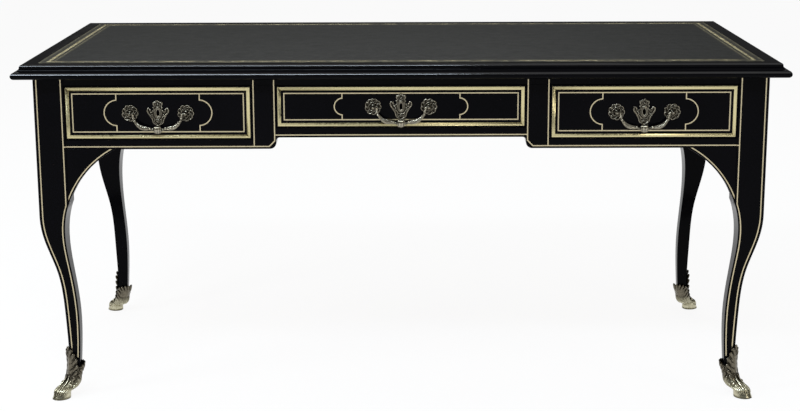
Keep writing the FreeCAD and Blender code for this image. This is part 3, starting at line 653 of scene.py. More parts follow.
def keptGold(tree, place, atEnd):
    # sleeves have worn the gold in patches, most of all along the two long sides
    patches = addSpread(tree, place, gilding["patches"])
    worn = addMath(tree, "MINIMUM", addMath(tree, "MAXIMUM", patches, gilding["atLeast"]), 1.0)
    least = addMath(tree, "MULTIPLY", atEnd, gilding["atEnds"])
    rubbed = addSpread(tree, place, gilding["rubbed"])
    return addMath(tree, "MULTIPLY", rubbed, addMath(tree, "MAXIMUM", least, worn))


def leatherFinish(halfX, halfY):
    material, tree, shader, place = startMaterial("tooledLeather")
    axes = splitPlace(tree, place)
    x, y = axes["X"], axes["Y"]
    fromEnd = addMath(tree, "SUBTRACT", halfX, addMath(tree, "ABSOLUTE", x))
    fromSide = addMath(tree, "SUBTRACT", halfY, addMath(tree, "ABSOLUTE", y))
    atEnd = addMath(tree, "LESS_THAN", fromEnd, fromSide)
    # distance from the nearest edge and way along it, in mm
    nearest = addMath(tree, "MULTIPLY", addMath(tree, "MINIMUM", fromEnd, fromSide), 1 / mm)
    stepX = addMath(tree, "MULTIPLY", x, addMath(tree, "SUBTRACT", 1.0, atEnd))
    run = addMath(tree, "MULTIPLY", addMath(tree, "MULTIPLY_ADD", y, atEnd, stepX), 1 / mm)

    kept = keptGold(tree, place, atEnd)
    marks = (
        (giltChain(tree, run, nearest), 1.0),
        (rolledLine(tree, run, nearest), gilding["outerShare"]),
        (addBetween(tree, nearest, *gilding["fineLine"]), gilding["fineShare"]),
    )
    gilt = addMath(tree, "MULTIPLY", addBetween(tree, nearest, *gilding["stain"]), gilding["dust"])
    tooled = 0.0
    for mark, share in marks:
        left = addMath(tree, "MULTIPLY", addMath(tree, "MULTIPLY", mark, kept), share)
        gilt = addMath(tree, "MAXIMUM", gilt, left)
        tooled = addMath(tree, "MAXIMUM", mark, tooled)

    cells = addNode(tree, "TexVoronoi", {"Scale": leatherLook["cells"]}, feature="DISTANCE_TO_EDGE")
    joinSockets(tree, (place, cells.inputs["Vector"]))
    grain = addMath(tree, "MINIMUM", cells.outputs["Distance"], leatherLook["flat"])
    hide = addRamp(tree, addNoise(tree, place, *leatherLook["cloud"]), leatherLook["hide"])
    # the creases of the grain are darkened by a painted shade
    creaseShaded = addMix(tree, 1.0, hide, addRamp(tree, grain, leatherLook["creaseShade"]), "MULTIPLY")
    gold = addRamp(tree, addNoise(tree, place, *leatherLook["goldCloud"]), leatherLook["gold"])
    pressed = addBump(tree, tooled, *leatherLook["pressed"])
    joinFinish(
        tree, shader,
        addMix(tree, gilt, creaseShaded, gold),
        addSpread(tree, place, leatherLook["roughness"]),
        addBump(tree, grain, *leatherLook["skin"], pressed),
    )
    joinSockets(tree, (addMath(tree, "MULTIPLY", gilt, leatherLook["metallic"]), shader.inputs["Metallic"]))
    shader.inputs["Specular IOR Level"].default_value = 0.10
    return material


# lacquered woodwork: the solids with their arrises eased

woodwork = {
    "easing": 0.7 * mm,
    "sharp": 32,                     # degrees: edges sharper than this are eased
    "level": 0.2,                    # degrees: faces nearer to level than this become one
    "rubbed": ("top_moulding",),     # polished by hands and cloths
    "nodes": (
        "top_moulding", "top_panel", "knee_brackets", "front_top_rail", "front_lower_rails",
        "drawer_dividers", "side_apron_left", "side_apron_right", "back_apron",
        *("leg_" + corner for corner in cornerTurns),
        *(drawer + "_drawer_front" for drawer in drawerNames),
    ),
}


def mergedCopy(node):
    # a solid's loose triangles joined up; they point outwards already
    return mergeCorners(freeCopy(nodes[node], camelName(node)))


def easedCopy(node):
    level = math.radians(woodwork["level"])
    obj = editAll(mergedCopy(node), bpy.ops.mesh.dissolve_limited, angle_limit=level)
    addModifier(
        obj, "BEVEL", width=woodwork["easing"], segments=2, limit_method="ANGLE",
        angle_limit=math.radians(woodwork["sharp"]), use_clamp_overlap=True,
    )
    smoothEdges(obj, "plain")
    return addModifier(obj, "WEIGHTED_NORMAL", weight=100, keep_sharp=True)


def makeWoodwork(lacquer, rubbedLacquer):
    for node in woodwork["nodes"]:
        obj = easedCopy(node)
        dressPiece(obj, rubbedLacquer if node in woodwork["rubbed"] else lacquer)
        setPiece(obj, bodyOf[node], "black_lacquer", node)


brassFrames = {
    "root": 0.3,        # mm above the panel: what lies lower is let into it
    "edge": 1.0,
    "crown": 0.1,       # share of the crown that is kept
    "nodes": (*(drawer + "_drawer_brass_frame" for drawer in drawerNames), "apron_brass_frames"),
}


def makeFrames(brass):
    # the raised strips, worn flatter than they were made
    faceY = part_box("left_drawer_front")[0].y
    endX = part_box("side_apron_right")[1].x
    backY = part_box("back_apron")[1].y

    def worn(height):
        return brassFrames["edge"] + brassFrames["crown"] * (height - brassFrames["edge"])

    def wornStrip(co):
        for axis, side, face in ((1, -1, -faceY), (0, -1, endX), (0, 1, endX), (1, 1, backY)):
            height = (side * co[axis] - face) / mm
            if height > brassFrames["root"]:
                co[axis] = side * (face + worn(height) * mm)
        return co

    for node in brassFrames["nodes"]:
        obj = smoothEdges(shapeBy(mergedCopy(node), wornStrip), "plain")
        dressPiece(obj, brass)
        setPiece(obj, bodyOf[node], "inlay_brass", node)


def dressNodes(finish, names):
    for name in names:
        dressPiece(nodes[name], finish)


# leather

leather = {
    "edge": 6 * mm,         # width over which the skin turns down
    "rise": 0.25 * mm,      # and how far
    "near": 0.1 * mm,       # corners this near to the outline lie on it
}


def makeLeather():
    low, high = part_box("writing_leather")
    halfX, halfY = high.x, high.y
    clearSelection()
    bpy.ops.mesh.primitive_cube_add(size=1, location=(low + high) / 2)
    obj = newPiece("writingLeather", high - low)
    bpy.ops.object.mode_set(mode="EDIT")
    bpy.ops.mesh.select_all(action="DESELECT")
    bpy.ops.mesh.select_mode(type="FACE")
    bpy.ops.object.mode_set(mode="OBJECT")
    for face in obj.data.polygons:
        face.select = face.normal.z > 0.9       # the upper face
    bpy.ops.object.mode_set(mode="EDIT")
    bpy.ops.mesh.inset(thickness=leather["edge"], depth=0)
    bpy.ops.object.mode_set(mode="OBJECT")

    def turnedDown(co):
        onTop = co.z > high.z - leather["near"]
        onEdge = abs(co.x) > halfX - leather["near"] or abs(co.y) > halfY - leather["near"]
        return co - Vector((0, 0, leather["rise"])) if onTop and onEdge else co

    smoothEdges(shapeBy(obj, turnedDown), "plain")
    dressPiece(obj, leatherFinish(halfX, halfY))
    setPiece(obj, "carcass", "tooled_leather", "writing_leather")


# bronze ornament, in mm

wire = {"girth": 1.0, "roundness": 3, "steps": 6}


def turnedPiece(rows, name, sides=28):
    # a round or oval turning, from rows of height, offset along X, half length and half width
    clearSelection()
    height, offset, halfLength, halfWidth = rows[0]
    bpy.ops.mesh.primitive_circle_add(vertices=sides, radius=mm, fill_type="NGON",
                                      location=(offset * mm, 0, height * mm))
    obj = newPiece(name, (halfLength, halfWidth, 1))
    bpy.ops.object.mode_set(mode="EDIT")
    bpy.ops.mesh.select_all(action="SELECT")
    for last, here in zip(rows, rows[1:]):
        step = Vector(((here[1] - last[1]) * mm, 0, (here[0] - last[0]) * mm))
        bpy.ops.mesh.extrude_region_move(TRANSFORM_OT_translate={"value": step})
        bpy.ops.transform.resize(value=(here[2] / last[2], here[3] / last[3], 1),
                                 center_override=(here[1] * mm, 0, here[0] * mm))
    bpy.ops.object.mode_set(mode="OBJECT")
    return outwardFaces(obj)


def roundRows(stations):
    return [(height, 0, radius, radius) for height, radius in stations]


def ballAt(x, y, z, radius, squash=(1, 1, 1)):
    clearSelection()
    bpy.ops.mesh.primitive_uv_sphere_add(segments=20, ring_count=12, radius=radius * mm,
                                         location=(x * mm, y * mm, z * mm))
    return newPiece("ball", squash)


def addSpline(data, points):
    spline = data.splines.new("NURBS")
    spline.points.add(len(points) - 1)
    for target, point in zip(spline.points, points):
        target.co = (*(value * mm for value in point), 1)
    spline.order_u = 3
    return spline


def meshFromCurve(data, name):
    activate(addObject(name, data))
    bpy.ops.object.convert(target="MESH")
    return namePiece(bpy.context.active_object, name)


def wireThrough(points, radii, name):
    # a round bar along a smooth line, thicker or thinner at each point
    data = bpy.data.curves.new(name, "CURVE")
    data.dimensions = "3D"
    data.bevel_depth = wire["girth"] * mm
    data.bevel_resolution = wire["roundness"]
    data.resolution_u = wire["steps"]
    data.use_fill_caps = True
    spline = addSpline(data, points)
    for target, radius in zip(spline.points, radii):
        target.radius = radius
    spline.use_endpoint_u = True
    return meshFromCurve(data, name)


rosette = {
    "radius": 18.5,
    # petals, inner and outer reach, half width, height of the ring, bend in degrees, rim thickness
    "rings": ((9, 4.5, 16.8, 5.4, 1.0, 14, 1.25), (6, 2.0, 9.4, 3.9, 2.8, -16, 1.05)),
    # places of the rim on a petal: across from -1 to 1, along from 0 to 1
    "rim": ((0, 0.02), (-0.85, 0.22), (-1.12, 0.60), (-0.95, 1.0), (0, 1.06), (0.95, 1.0), (1.12, 0.60),
            (0.85, 0.22), (0, 0.02)),
    "vein": ((0.2, 0.8), (0.5, 0.75), (0.78, 0.3)),     # place along the petal, and thickness
    "outline": (0.16, 0.62, 0.7),       # start and share of a half sine wave, and its power
    "cup": 1.1,                         # how far the sides stand above the middle
    "curl": 1.2,                        # how far the tip rises
    "tip": 0.1,                         # share of the width that is left there
    "thickness": 0.8,
    "plate": ((0.0, 15.0), (0.9, 15.0), (1.6, 13.8), (3.4, 5.5), (4.4, 4.8)),     # height and radius
}


def petalPoint(across, along, angle, inner, outer, halfWidth, base, bend):
    # a place on a cupped petal that faces -Y
    start, share, power = rosette["outline"]
    width = halfWidth * math.sin(math.pi * min(start + share * along, 1)) ** power
    rise = base + rosette["cup"] * across ** 2 + rosette["curl"] * along ** 3
    reach = inner + (outer - inner) * along
    turn = math.radians(angle + bend * along * along)
    side = across * width
    x = reach * math.sin(turn) + side * math.cos(turn)
    z = reach * math.cos(turn) - side * math.sin(turn)
    return Vector((x, -rise, z))


def rosettePetal(bronze, dark, rim, *shape):
    # a dark cupped petal with a vein, inside a bright rolled rim
    clearSelection()
    bpy.ops.mesh.primitive_grid_add(x_subdivisions=12, y_subdivisions=12, size=2)
    cup = newPiece("petalCup")

    def cupShape(co):
        along = (co.y + 1) / 2
        narrow = (1 - rosette["tip"]) * (1 - along ** 5) ** 0.5 + rosette["tip"]
        return petalPoint(co.x * narrow, along, *shape) * mm

    shapeBy(cup, cupShape)
    addModifier(cup, "SOLIDIFY", thickness=rosette["thickness"] * mm, offset=0)
    dressPiece(outwardFaces(cup), dark)
    rimSpots = [petalPoint(*spot, *shape) for spot in rosette["rim"]]
    veinSpots = [petalPoint(0, along, *shape) for along, girth in rosette["vein"]]
    edge = wireThrough(rimSpots, [rim] * len(rimSpots), "petalRim")
    vein = wireThrough(veinSpots, [girth for along, girth in rosette["vein"]], "petalVein")
    for bar in (edge, vein):
        dressPiece(bar, bronze)
    return joinPieces([cup, edge, vein], "rosettePetal")


def rosetteMaster(bronze, dark):
    pieces = []
    for count, inner, outer, halfWidth, base, bend, rim in rosette["rings"]:
        for index in range(count):
            angle = 360 * index / count
            pieces.append(rosettePetal(bronze, dark, rim, angle, inner, outer, halfWidth, base, bend))
    plate = turnedPiece(roundRows(rosette["plate"]), "rosettePlate")
    plate.data.transform(Matrix.Rotation(math.pi / 2, 4, "X"))
    pieces.append(dressPiece(plate, dark))
    return smoothEdges(joinPieces(pieces, "rosetteMaster"), "cast")


post = {
    # distance in front of the drawer's face, and radius
    "stem": ((-27.0, 3.0), (4.0, 3.0), (4.4, 4.6), (6.0, 4.6), (6.6, 3.4), (9.2, 3.2), (10.0, 4.0),
             (11.6, 4.8), (14.0, 5.1), (16.4, 4.8), (18.0, 3.8), (18.8, 2.6), (19.4, 2.4), (20.0, 1.2)),
    "nut": ((-26.8, 6.2), (-26.4, 6.6), (-22.4, 6.6), (-22.0, 6.2)),
}


def postMaster():
    stem = turnedPiece(roundRows(post["stem"]), "postStem")
    nut = turnedPiece(roundRows(post["nut"]), "postNut", sides=6)
    obj = joinPieces([stem, nut], "postMaster")
    obj.data.transform(Matrix.Rotation(math.pi / 2, 4, "X"))
    return smoothEdges(obj, "turned")


escutcheonShape = {
    # outline of the back plate, right-hand half from top to foot
    "plate": ((0.0, 25.5), (3.0, 25.0), (6.0, 22.5), (9.4, 20.5), (7.6, 15.5), (10.0, 12.0), (8.0, 8.0),
              (11.5, 5.0), (15.5, 0.5), (19.5, 5.0), (22.4, 9.0), (24.4, 5.0), (21.5, -0.5), (17.5, -6.0),
              (14.0, -11.0), (12.0, -17.0), (9.5, -22.0), (4.0, -26.0), (0.0, -27.5)),
    "thickness": 1.2,
    "keyhole": (3.2, 8.4),
    "keyholeCorners": 12,
    "narrow": 0.92,         # share of the width that is kept outside the rims
    "front": -1.3,          # where the raised lines lie
    "ballFront": -1.7,
    # raised lines on the right-hand half: x, z and thickness
    "lines": (
        ((0.8, 25.8, 1.2), (3.2, 26.6, 1.6), (5.6, 23.4, 1.9), (9.4, 24.2, 2.0), (11.2, 19.4, 1.9),
         (7.0, 15.4, 1.3), (9.8, 12.6, 1.6)),
        ((9.6, 10.6, 1.2), (7.6, 7.8, 1.2), (10.4, 4.6, 1.4), (13.4, 5.4, 1.4), (14.6, 0.6, 1.4),
         (17.4, 1.4, 1.3), (18.4, 6.2, 1.4)),
        ((18.2, 6.4, 1.9), (19.6, 10.2, 1.8), (24.4, 10.4, 1.9), (25.8, 4.6, 2.0), (23.0, -0.6, 2.0),
         (18.4, -5.0, 1.9), (13.6, -7.2, 1.6), (10.4, -10.0, 1.2)),
        ((19.8, -5.8, 1.3), (15.8, -9.8, 1.8), (12.8, -15.6, 1.7), (12.0, -21.4, 1.7), (7.0, -25.0, 1.8),
         (2.8, -26.4, 1.6), (0.0, -28.2, 1.3)),
        ((10.0, -10.2, 1.3), (7.8, -14.6, 1.5), (3.4, -16.2, 1.4), (0.0, -16.2, 1.3)),
        ((8.8, -14.0, 1.1), (9.0, -20.0, 1.3), (4.8, -24.2, 1.2), (2.4, -19.4, 1.2), (0.0, -18.6, 1.1)),
        ((0.0, 13.8, 0.9), (4.2, 14.8, 1.0), (5.8, 20.0, 1.1), (2.4, 23.6, 1.0), (0.4, 24.6, 0.9)),
    ),
    # round drops: x, z and radius
    "balls": ((0.0, 19.0, 2.5), (0.0, 26.9, 2.4), (8.4, 22.0, 1.9), (10.4, 12.4, 2.3), (18.4, 6.8, 2.4),
              (12.8, 4.2, 1.8), (16.6, 0.2, 1.8), (13.0, -3.6, 2.0), (0.0, -21.6, 1.7), (0.0, -27.6, 1.7),
              (5.6, -20.2, 1.2)),
    # inner and outer rim of the keyhole: half width, half height and thickness
    "rims": ((4.6, 9.4, 1.25), (7.4, 12.0, 1.15)),
}


def backPlate():
    # a flat plate with a keyhole through it, lying against the drawer's face
    shape = escutcheonShape
    right = [(x * shape["narrow"], z, 0) for x, z in shape["plate"]]
    left = [(-x, z, 0) for x, z, flat in reversed(right[1:-1])]
    halfWidth, halfHeight = shape["keyhole"]
    keyhole = []
    for step in range(shape["keyholeCorners"]):
        angle = 2 * math.pi * step / shape["keyholeCorners"]
        keyhole.append((halfWidth * math.sin(angle), halfHeight * math.cos(angle), 0))
    data = bpy.data.curves.new("backPlate", "CURVE")
    data.dimensions = "2D"
    data.fill_mode = "BOTH"
    data.extrude = shape["thickness"] / 2 * mm
    for outline in (right + left, keyhole):
        addSpline(data, outline).use_cyclic_u = True
    obj = meshFromCurve(data, "backPlate")
    obj.rotation_euler = (math.pi / 2, 0, 0)
    obj.location = (0, -shape["thickness"] / 2 * mm, 0)
    return applyPlace(obj)


def ovalRim(halfWidth, halfHeight, thickness, y):
    clearSelection()
    bpy.ops.mesh.primitive_torus_add(major_segments=44, minor_segments=10, major_radius=halfWidth * mm,
                                     minor_radius=thickness * mm, rotation=(math.pi / 2, 0, 0))
    rim = newPiece("keyholeRim")
    stretch = halfHeight / halfWidth
    return shapeBy(rim, lambda co: Vector((co.x, co.y + y * mm, co.z * stretch)))


def escutcheonMaster(bronze, dark):
    shape = escutcheonShape
    raised = []
    for side in (1, -1):
        for line in shape["lines"]:
            points = [(side * x * shape["narrow"], shape["front"], z) for x, z, radius in line]
            raised.append(wireThrough(points, [radius for x, z, radius in line], "plateLine"))
    for x, z, radius in shape["balls"]:
        for side in ((1, -1) if x else (1,)):
            raised.append(ballAt(side * x * shape["narrow"], shape["ballFront"], z, radius))
    for halfWidth, halfHeight, thickness in shape["rims"]:
        raised.append(ovalRim(halfWidth, halfHeight, thickness, shape["front"]))
    relief = dressPiece(joinPieces(raised, "plateRelief"), bronze)
    plate = dressPiece(backPlate(), dark)
    return smoothEdges(joinPieces([plate, relief], "escutcheonMaster"), "cast")


bail = {
    "path": ((64.5, 0.0), (56.0, 0.0), (53.4, -3.4), (52.6, -10.0), (50.4, -16.0), (45.4, -23.6),
             (37.4, -29.8), (28.0, -32.8), (20.0, -33.2), (14.0, -34.6), (6.0, -35.4)),
    "girth": (2.45, 2.45, 2.6, 2.6, 2.8, 3.6, 4.8, 4.9, 3.4, 2.4, 2.6),
    # the twisted leaf, between two places on the path; shares are of the girth there
    "leafStart": 4,
    "leafEnd": 8,
    "strands": 7,
    "twist": 150,
    "coreShare": 0.8,
    "strandPlace": 0.74,
    "strandShare": 0.36,
    "strandTip": 0.24,
    "rings": ((3, 3.7), (4, 3.9)),          # place on the path, and radius
    "ringSquash": (1, 1, 0.6),
    "curl": (17.4, -0.6, -32.6, 3.4),       # place and radius
    "curlSquash": (0.9, 1, 1),
    "collars": ((10.4, 4.2), (12.8, 3.4)),  # distance from the middle, and radius
    "collarSquash": (0.34, 1, 1),
    # the knop, a melon with upright ribs; shares are of its half height
    "drop": 35.4,
    "knop": 8.4,
    "lobes": 8,
    "lobePlace": 0.66,
    "lobeGirth": 3.5,
    "lobeHeight": 0.96,
    "melon": 0.86,
    "melonSquash": (0.95, 0.95, 1.06),
    "tips": ((-1, 2.0), (1, 2.4)),          # down or up, and radius
    "tipSquash": (1, 1, 0.7),
}


def bailStrand(side, strand):
    # one strand of the leaf that twists round the bar
    start, end = bail["leafStart"], bail["leafEnd"]
    points = []
    radii = []
    for index in range(start, end + 1):
        x, z = bail["path"][index]
        nextX, nextZ = bail["path"][index + 1]
        lastX, lastZ = bail["path"][index - 1]
        along = Vector((nextX - lastX, 0, nextZ - lastZ)).normalized()
        lift = Vector((-along.z, 0, along.x))
        share = (index - start) / (end - start)
        angle = math.radians(360 * strand / bail["strands"] + bail["twist"] * share)
        girth = bail["girth"][index]
        outward = lift * math.cos(angle) + Vector((0, math.sin(angle), 0))
        spot = Vector((x, 0, z)) + outward * girth * bail["strandPlace"]
        points.append((side * spot.x, spot.y, spot.z))
        radii.append(girth * bail["strandShare" if 0 < share < 1 else "strandTip"])
    return wireThrough(points, radii, "bailStrand")


def bailMaster():
    pieces = []
    for side in (1, -1):
        core = [(side * x, 0, z) for x, z in bail["path"]]
        thickness = list(bail["girth"])
        for index in range(bail["leafStart"], bail["leafEnd"] + 1):
            thickness[index] *= bail["coreShare"]
        pieces.append(wireThrough(core, thickness, "bailCore"))
        for strand in range(bail["strands"]):
            pieces.append(bailStrand(side, strand))
        # two rings above the leaf, a curl below it and the collars of the knop
        for index, radius in bail["rings"]:
            x, z = bail["path"][index]
            pieces.append(ballAt(side * x, 0, z, radius, bail["ringSquash"]))
        x, y, z, radius = bail["curl"]
        pieces.append(ballAt(side * x, y, z, radius, bail["curlSquash"]))
        for offset, radius in bail["collars"]:
            pieces.append(ballAt(side * offset, 0, -bail["drop"], radius, bail["collarSquash"]))
    knop = bail["knop"]
    reach = knop * bail["lobePlace"]
    lobe = (bail["lobeGirth"], bail["lobeGirth"], bail["lobeHeight"] * knop)
    for index in range(bail["lobes"]):
        angle = 2 * math.pi * (index + 0.5) / bail["lobes"]
        pieces.append(ballAt(reach * math.sin(angle), reach * math.cos(angle), -bail["drop"], 1.0, lobe))
    pieces.append(ballAt(0, 0, -bail["drop"], knop * bail["melon"], bail["melonSquash"]))
    for way, radius in bail["tips"]:
        pieces.append(ballAt(0, 0, -bail["drop"] + way * knop, radius, bail["tipSquash"]))
    return smoothEdges(joinPieces(pieces, "bailMaster"), "cast")


def makeHandles(bronze, dark, handled):
    rose = rosetteMaster(bronze, dark)
    stem = dressPiece(postMaster(), bronze)
    swing = dressPiece(bailMaster(), handled)
    shield = escutcheonMaster(bronze, dark)
    pivots = {joint["name"]: Vector(joint["pos_m"]) for joint in frame["joints"] if "pos_m" in joint}
    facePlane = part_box("left_drawer_front")[0].y
    for name in drawerNames:
        pivot = pivots[name + "_bail_swing"]
        low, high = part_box(name + "_rosettes")
        reach = rosette["radius"] * mm
        roses = []
        stems = []
        for place in (low.x + reach, high.x - reach):
            spot = Matrix.Translation((place, facePlane, pivot.z))
            roses.append(freeCopy(rose, "rosette", spot))
            stems.append(freeCopy(stem, "post", spot))
        middle = Matrix.Translation((pivot.x, facePlane, pivot.z))
        pieces = (
            (joinPieces(roses, name + "Rosettes"), "_drawer", "_rosettes"),
            (joinPieces(stems, name + "Posts"), "_drawer", "_handle_posts"),
            (freeCopy(swing, name + "Bail", Matrix.Translation(pivot)), "_handle", "_bail"),
            (freeCopy(shield, name + "Escutcheon", middle), "_drawer", "_escutcheon"),
        )
        for obj, body, node in pieces:
            setPiece(obj, name + body, "patinated_bronze", name + node)
    for spare in (rose, stem, swing, shield):
        bpy.data.objects.remove(spare)


# hoof sabots, in mm, modelled along +X and turned to their corners

sabot = {
    # height, offset of the middle along the diagonal, half length, half width
    "stations": (
        (0.0, 44.8, 21.6, 18.8), (1.0, 44.6, 22.2, 19.3), (6.0, 43.0, 21.2, 18.6),
        (11.0, 41.8, 20.2, 18.0), (15.0, 40.6, 19.6, 17.6), (17.0, 39.0, 20.6, 17.9),
        (19.5, 34.6, 24.0, 18.2), (22.0, 29.0, 26.4, 18.2), (26.0, 23.0, 26.0, 18.0),
        (32.0, 15.6, 21.8, 17.8), (39.0, 10.6, 17.6, 17.6), (45.0, 8.4, 17.2, 17.4),
        (51.0, 6.2, 17.6, 17.6), (58.0, 4.0, 18.4, 18.0), (66.0, 2.0, 19.2, 18.6),
        (72.0, 1.6, 19.2, 18.7), (80.0, 1.0, 19.2, 18.8), (95.0, 0.5, 19.6, 19.2), (122.0, 0.0, 20.2, 20.0),
    ),
    "bodyTop": 72.0,
    "ankleInset": 55.6,
    "dewClaw": (52, 31, 0.4, 4.2),      # direction, height, lift and radius
}
hoof = {
    "foot": 0.3,
    "top": 15.5,
    "middle": 43.0,
    "toe": 50.0,            # the cleft starts here
    "cleftDepth": 2.4,
    "cleftWidth": 1.3,
    "ringShare": 0.008,     # of the hoof's reach
    "ringTurn": 2.1,        # radians for each mm of height
}


def sabotSurface(angle, height):
    # the middle of the shoe at a height, and how far its surface lies from there
    middle, halfLength, halfWidth = blendTable(sabot["stations"], height)
    reach = halfLength * halfWidth / math.hypot(halfWidth * math.cos(angle), halfLength * math.sin(angle))
    return middle, reach


def pointOnShoe(direction, height, lift=0.0):
    angle = math.radians(direction)
    middle, reach = sabotSurface(angle, height)
    return (middle + (reach + lift) * math.cos(angle), (reach + lift) * math.sin(angle), height)


def sabotBody():
    rows = [row for row in sabot["stations"] if row[0] <= sabot["bodyTop"]]
    obj = turnedPiece(rows, "sabotBody", sides=48)
    addModifier(obj, "SUBSURF", levels=2, render_levels=2)

    def hoofShape(co):
        # the toe is cleft and the hoof's wall has faint rings
        if hoof["foot"] * mm < co.z < hoof["top"] * mm:
            if co.x > hoof["toe"] * mm:
                co.x -= hoof["cleftDepth"] * mm * math.exp(-((co.y / (hoof["cleftWidth"] * mm)) ** 2))
            swell = 1 + hoof["ringShare"] * math.sin(co.z / mm * hoof["ringTurn"])
            middle = hoof["middle"] * mm
            co.x = middle + (co.x - middle) * swell
            co.y *= swell
        return co

    return shapeBy(outwardFaces(obj), hoofShape)


leaf = {
    # sheets: middle direction, half angle, foot, height of the rim at the middle and its fall at the edges
    "sheets": ((0, 63, 44.0, 116.0, 28.0), (180, 100, 42.0, 75.0, 6.0)),
    "thickness": 1.8,
    "lift": 0.4,            # height above the shoe
    "stem": 0.9,
    "stemAngle": 5,
    "flute": 0.5,
    "flutePitch": 14,
    "fluteRise": 16,        # from the stem to the edge
    "fluteStart": 2.5,      # flutes are full at 1 / 2.5 of the way to the edge
    # lobes on the rims and edges of both sheets: direction and height of the tip
    "lobes": (
        (0, 119), (22, 112), (42, 102), (58, 89), (64, 74), (63, 60), (57, 48),
        (180, 78), (152, 78), (126, 76), (103, 73), (87, 65), (81, 54), (82, 44),
    ),
    "innerFrom": 70,        # directions past this belong to the inner sheet
    "innerLobe": (0.6, 1.15),       # stand and girth
    "outerLobe": (1.3, 1.4),
    "lobeLength": 16,
    "lobeTurn": 0.55,       # share of the direction at which a lobe starts
    "lobeFlat": 0.6,        # share of a lobe's roundness that is kept
    # share of the way, height above the shoe and thickness
    "lobeRows": ((0.0, 0.0, 0.8), (0.3, 0.6, 2.0), (0.6, 1.2, 2.8), (0.86, 2.0, 3.0), (1.0, 3.0, 2.4),
                 (1.06, 3.4, 0.5)),
}


def sabotSheet(middle, spread, foot, rim, fall):
    # a leaf wrapped round the ankle, with a raised stem and flutes that rise to its edges
    clearSelection()
    bpy.ops.mesh.primitive_grid_add(x_subdivisions=90, y_subdivisions=44, size=2)
    obj = newPiece("sabotSheet")

    def sheetShape(co):
        across = co.x
        along = (co.y + 1) / 2
        edge = abs(across)
        height = foot + (rim - fall * edge - foot) * along
        angle = math.radians(middle + across * spread)
        stem = leaf["stem"] * math.exp(-((across * spread / leaf["stemAngle"]) ** 2))
        wave = math.cos(2 * math.pi * (height - leaf["fluteRise"] * edge) / leaf["flutePitch"])
        flute = leaf["flute"] * wave * min(1, leaf["fluteStart"] * edge)
        offset, reach = sabotSurface(angle, height)
        reach += leaf["lift"] + stem + flute
        return Vector(((offset + reach * math.cos(angle)) * mm, reach * math.sin(angle) * mm, height * mm))

    shapeBy(obj, sheetShape)
    addModifier(obj, "SOLIDIFY", thickness=leaf["thickness"] * mm, offset=-1)
    return outwardFaces(obj)


def wireOnShoe(start, end, rows, name):
    # rows of share of the way, height above the shoe and thickness
    points = []
    for share, lift, radius in rows:
        direction = start[0] + (end[0] - start[0]) * share
        height = start[1] + (end[1] - start[1]) * share
        points.append(pointOnShoe(direction, height, lift))
    return wireThrough(points, [radius for share, lift, radius in rows], name)


def lobeOnShoe(direction, height):
    # a leaf tip that swells, curls out and is rounded off
    inner = direction > leaf["innerFrom"]
    middle = 180 if inner else 0
    stand, girth = leaf["innerLobe" if inner else "outerLobe"]
    start = (middle + (direction - middle) * leaf["lobeTurn"], height - leaf["lobeLength"])
    rows = [(share, lift * stand, radius * girth) for share, lift, radius in leaf["lobeRows"]]
    lobe = wireOnShoe(start, (direction, height), rows, "leafLobe")

    def pressed(co):
        # flatter against the shoe, as leaf metal is
        offset = blendTable(sabot["stations"], co.z / mm)[0] * mm
        outward = Vector((co.x - offset, co.y, 0))
        reach = sabotSurface(math.atan2(outward.y, outward.x), co.z / mm)[1] * mm
        distance = reach + (outward.length - reach) * leaf["lobeFlat"]
        return Vector((offset, 0, co.z)) + outward.normalized() * distance

    return shapeBy(lobe, pressed)


hair = {
    # share of the way, height above the shoe and share of the girth
    "rows": ((0.0, 0.0, 0.4), (0.3, 0.4, 1.0), (0.7, 0.5, 1.0), (1.0, 0.3, 0.3)),
    # over the fetlock, over the top of the hoof, and the tendon between them: count, first direction, step,
    # drift, top and its fall with each hair, foot, how many hairs its unevenness takes and its rise, girth
    "locks": (
        (13, 92, 7, 4, 46, 0, 20, 3, 1.5, 1.5),
        (6, 8, 13, 6, 30, 1, 11, 2, 2.5, 2.2),
        (1, 15, 0, 4, 52, 0, 22, 1, 0, 2.4),
    ),
}


def lockOfHair(lock, side):
    count, first, step, drift, top, fall, foot, cycle, rise, girth = lock
    rows = [(share, lift, part * girth) for share, lift, part in hair["rows"]]
    hairs = []
    for index in range(count):
        direction = side * (first + step * index)
        start = (direction, top - fall * index)
        end = (direction + side * drift, foot + index % cycle * rise)
        hairs.append(wireOnShoe(start, end, rows, "fetlockHair"))
    return hairs


def sabotMaster():
    pieces = [sabotBody()]
    for sheet in leaf["sheets"]:
        pieces.append(sabotSheet(*sheet))
    for direction, height in leaf["lobes"]:
        pieces.append(lobeOnShoe(direction, height))
        if direction % 180:
            pieces.append(mirroredPiece(pieces[-1]))
    direction, height, lift, radius = sabot["dewClaw"]
    for side in (1, -1):
        for lock in hair["locks"]:
            pieces += lockOfHair(lock, side)
        pieces.append(ballAt(*pointOnShoe(side * direction, height, lift), radius))
    return smoothEdges(joinPieces(pieces, "sabotMaster"), "cast")


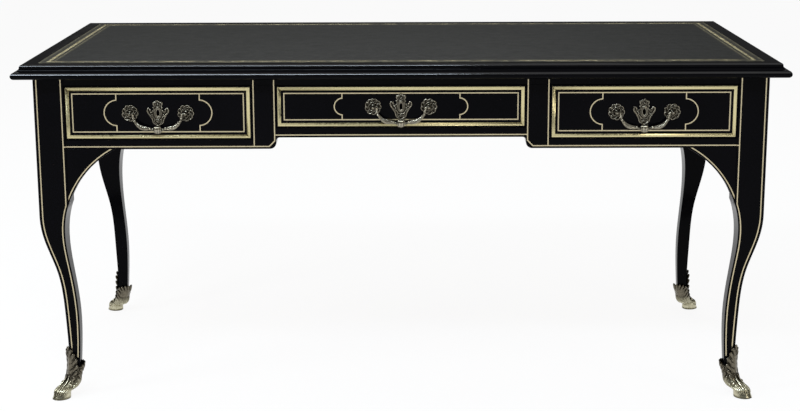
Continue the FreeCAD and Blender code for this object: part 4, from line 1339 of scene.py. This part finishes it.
def makeSabots(bronze):
    master = sabotMaster()
    inset = sabot["ankleInset"] * mm
    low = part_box("leg_front_left")[0]
    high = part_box("leg_rear_right")[1]
    for corner, degrees in cornerTurns.items():
        node = "sabot_" + corner
        # the ankle's axis stands at the same inset from both outer faces of the leg
        x = high.x - inset if "right" in corner else low.x + inset
        y = high.y - inset if "rear" in corner else low.y + inset
        place = Matrix.Translation((x, y, 0)) @ Matrix.Rotation(math.radians(degrees), 4, "Z")
        obj = freeCopy(master, camelName(node), place)
        dressPiece(obj, bronze)
        setPiece(obj, "carcass", "patinated_bronze", node)
    bpy.data.objects.remove(master)


# the build

setCamera()
setLamps()
setSurround()
setFloor()
print("studio set")

lacquer = lacquerFinish("blackLacquer")
rubbedLacquer = lacquerFinish("rubbedLacquer", lacquerLook["crests"])
lineBrass = inlayFinish("lineBrass")
frameBrass = inlayFinish("frameBrass")
bronze = bronzeFinish("patinatedBronze", reach=4 * mm, gloss=0.20, tone="relief")
darkBronze = bronzeFinish("darkBronze", reach=4 * mm, gloss=0.34, tone="ground")
handledBronze = bronzeFinish("handledBronze", reach=4 * mm, gloss=0.20, tone="handled")
hoofBronze = bronzeFinish(
    "hoofBronze", reach=8 * mm, gloss=0.25, tone="leaf", lowTone="hoof", change=(26 * mm, 46 * mm),
)
oakAcross = oakFinish("oakAcross")
oakAlong = oakFinish("oakAlong")
lockBrass = filedMetal("lockBrass")
lockSteel = filedMetal("lockSteel")
print("finishes made")

makeWoodwork(lacquer, rubbedLacquer)
makeFrames(frameBrass)
dressNodes(lineBrass, ["leg_stringing", "apron_stringing"])
dressNodes(oakAlong, ["partitions", "drawer_runners", "drawer_kickers"])
for drawer in drawerNames:
    dressNodes(lineBrass, [drawer + "_drawer_stringing"])
    dressNodes(oakAlong, [drawer + "_drawer_sides"])
    dressNodes(oakAcross, [drawer + "_drawer_back", drawer + "_drawer_bottom"])
    dressNodes(lockBrass, [drawer + "_lock_case"])
    dressNodes(lockSteel, [drawer + "_lock_bolt"])
print("woodwork and inlay dressed")

makeLeather()
print("leather laid")
makeHandles(bronze, darkBronze, handledBronze)
print("handles made")
makeSabots(hoofBronze)
print("sabots made")

bpy.context.scene.view_settings.view_transform = "Standard"
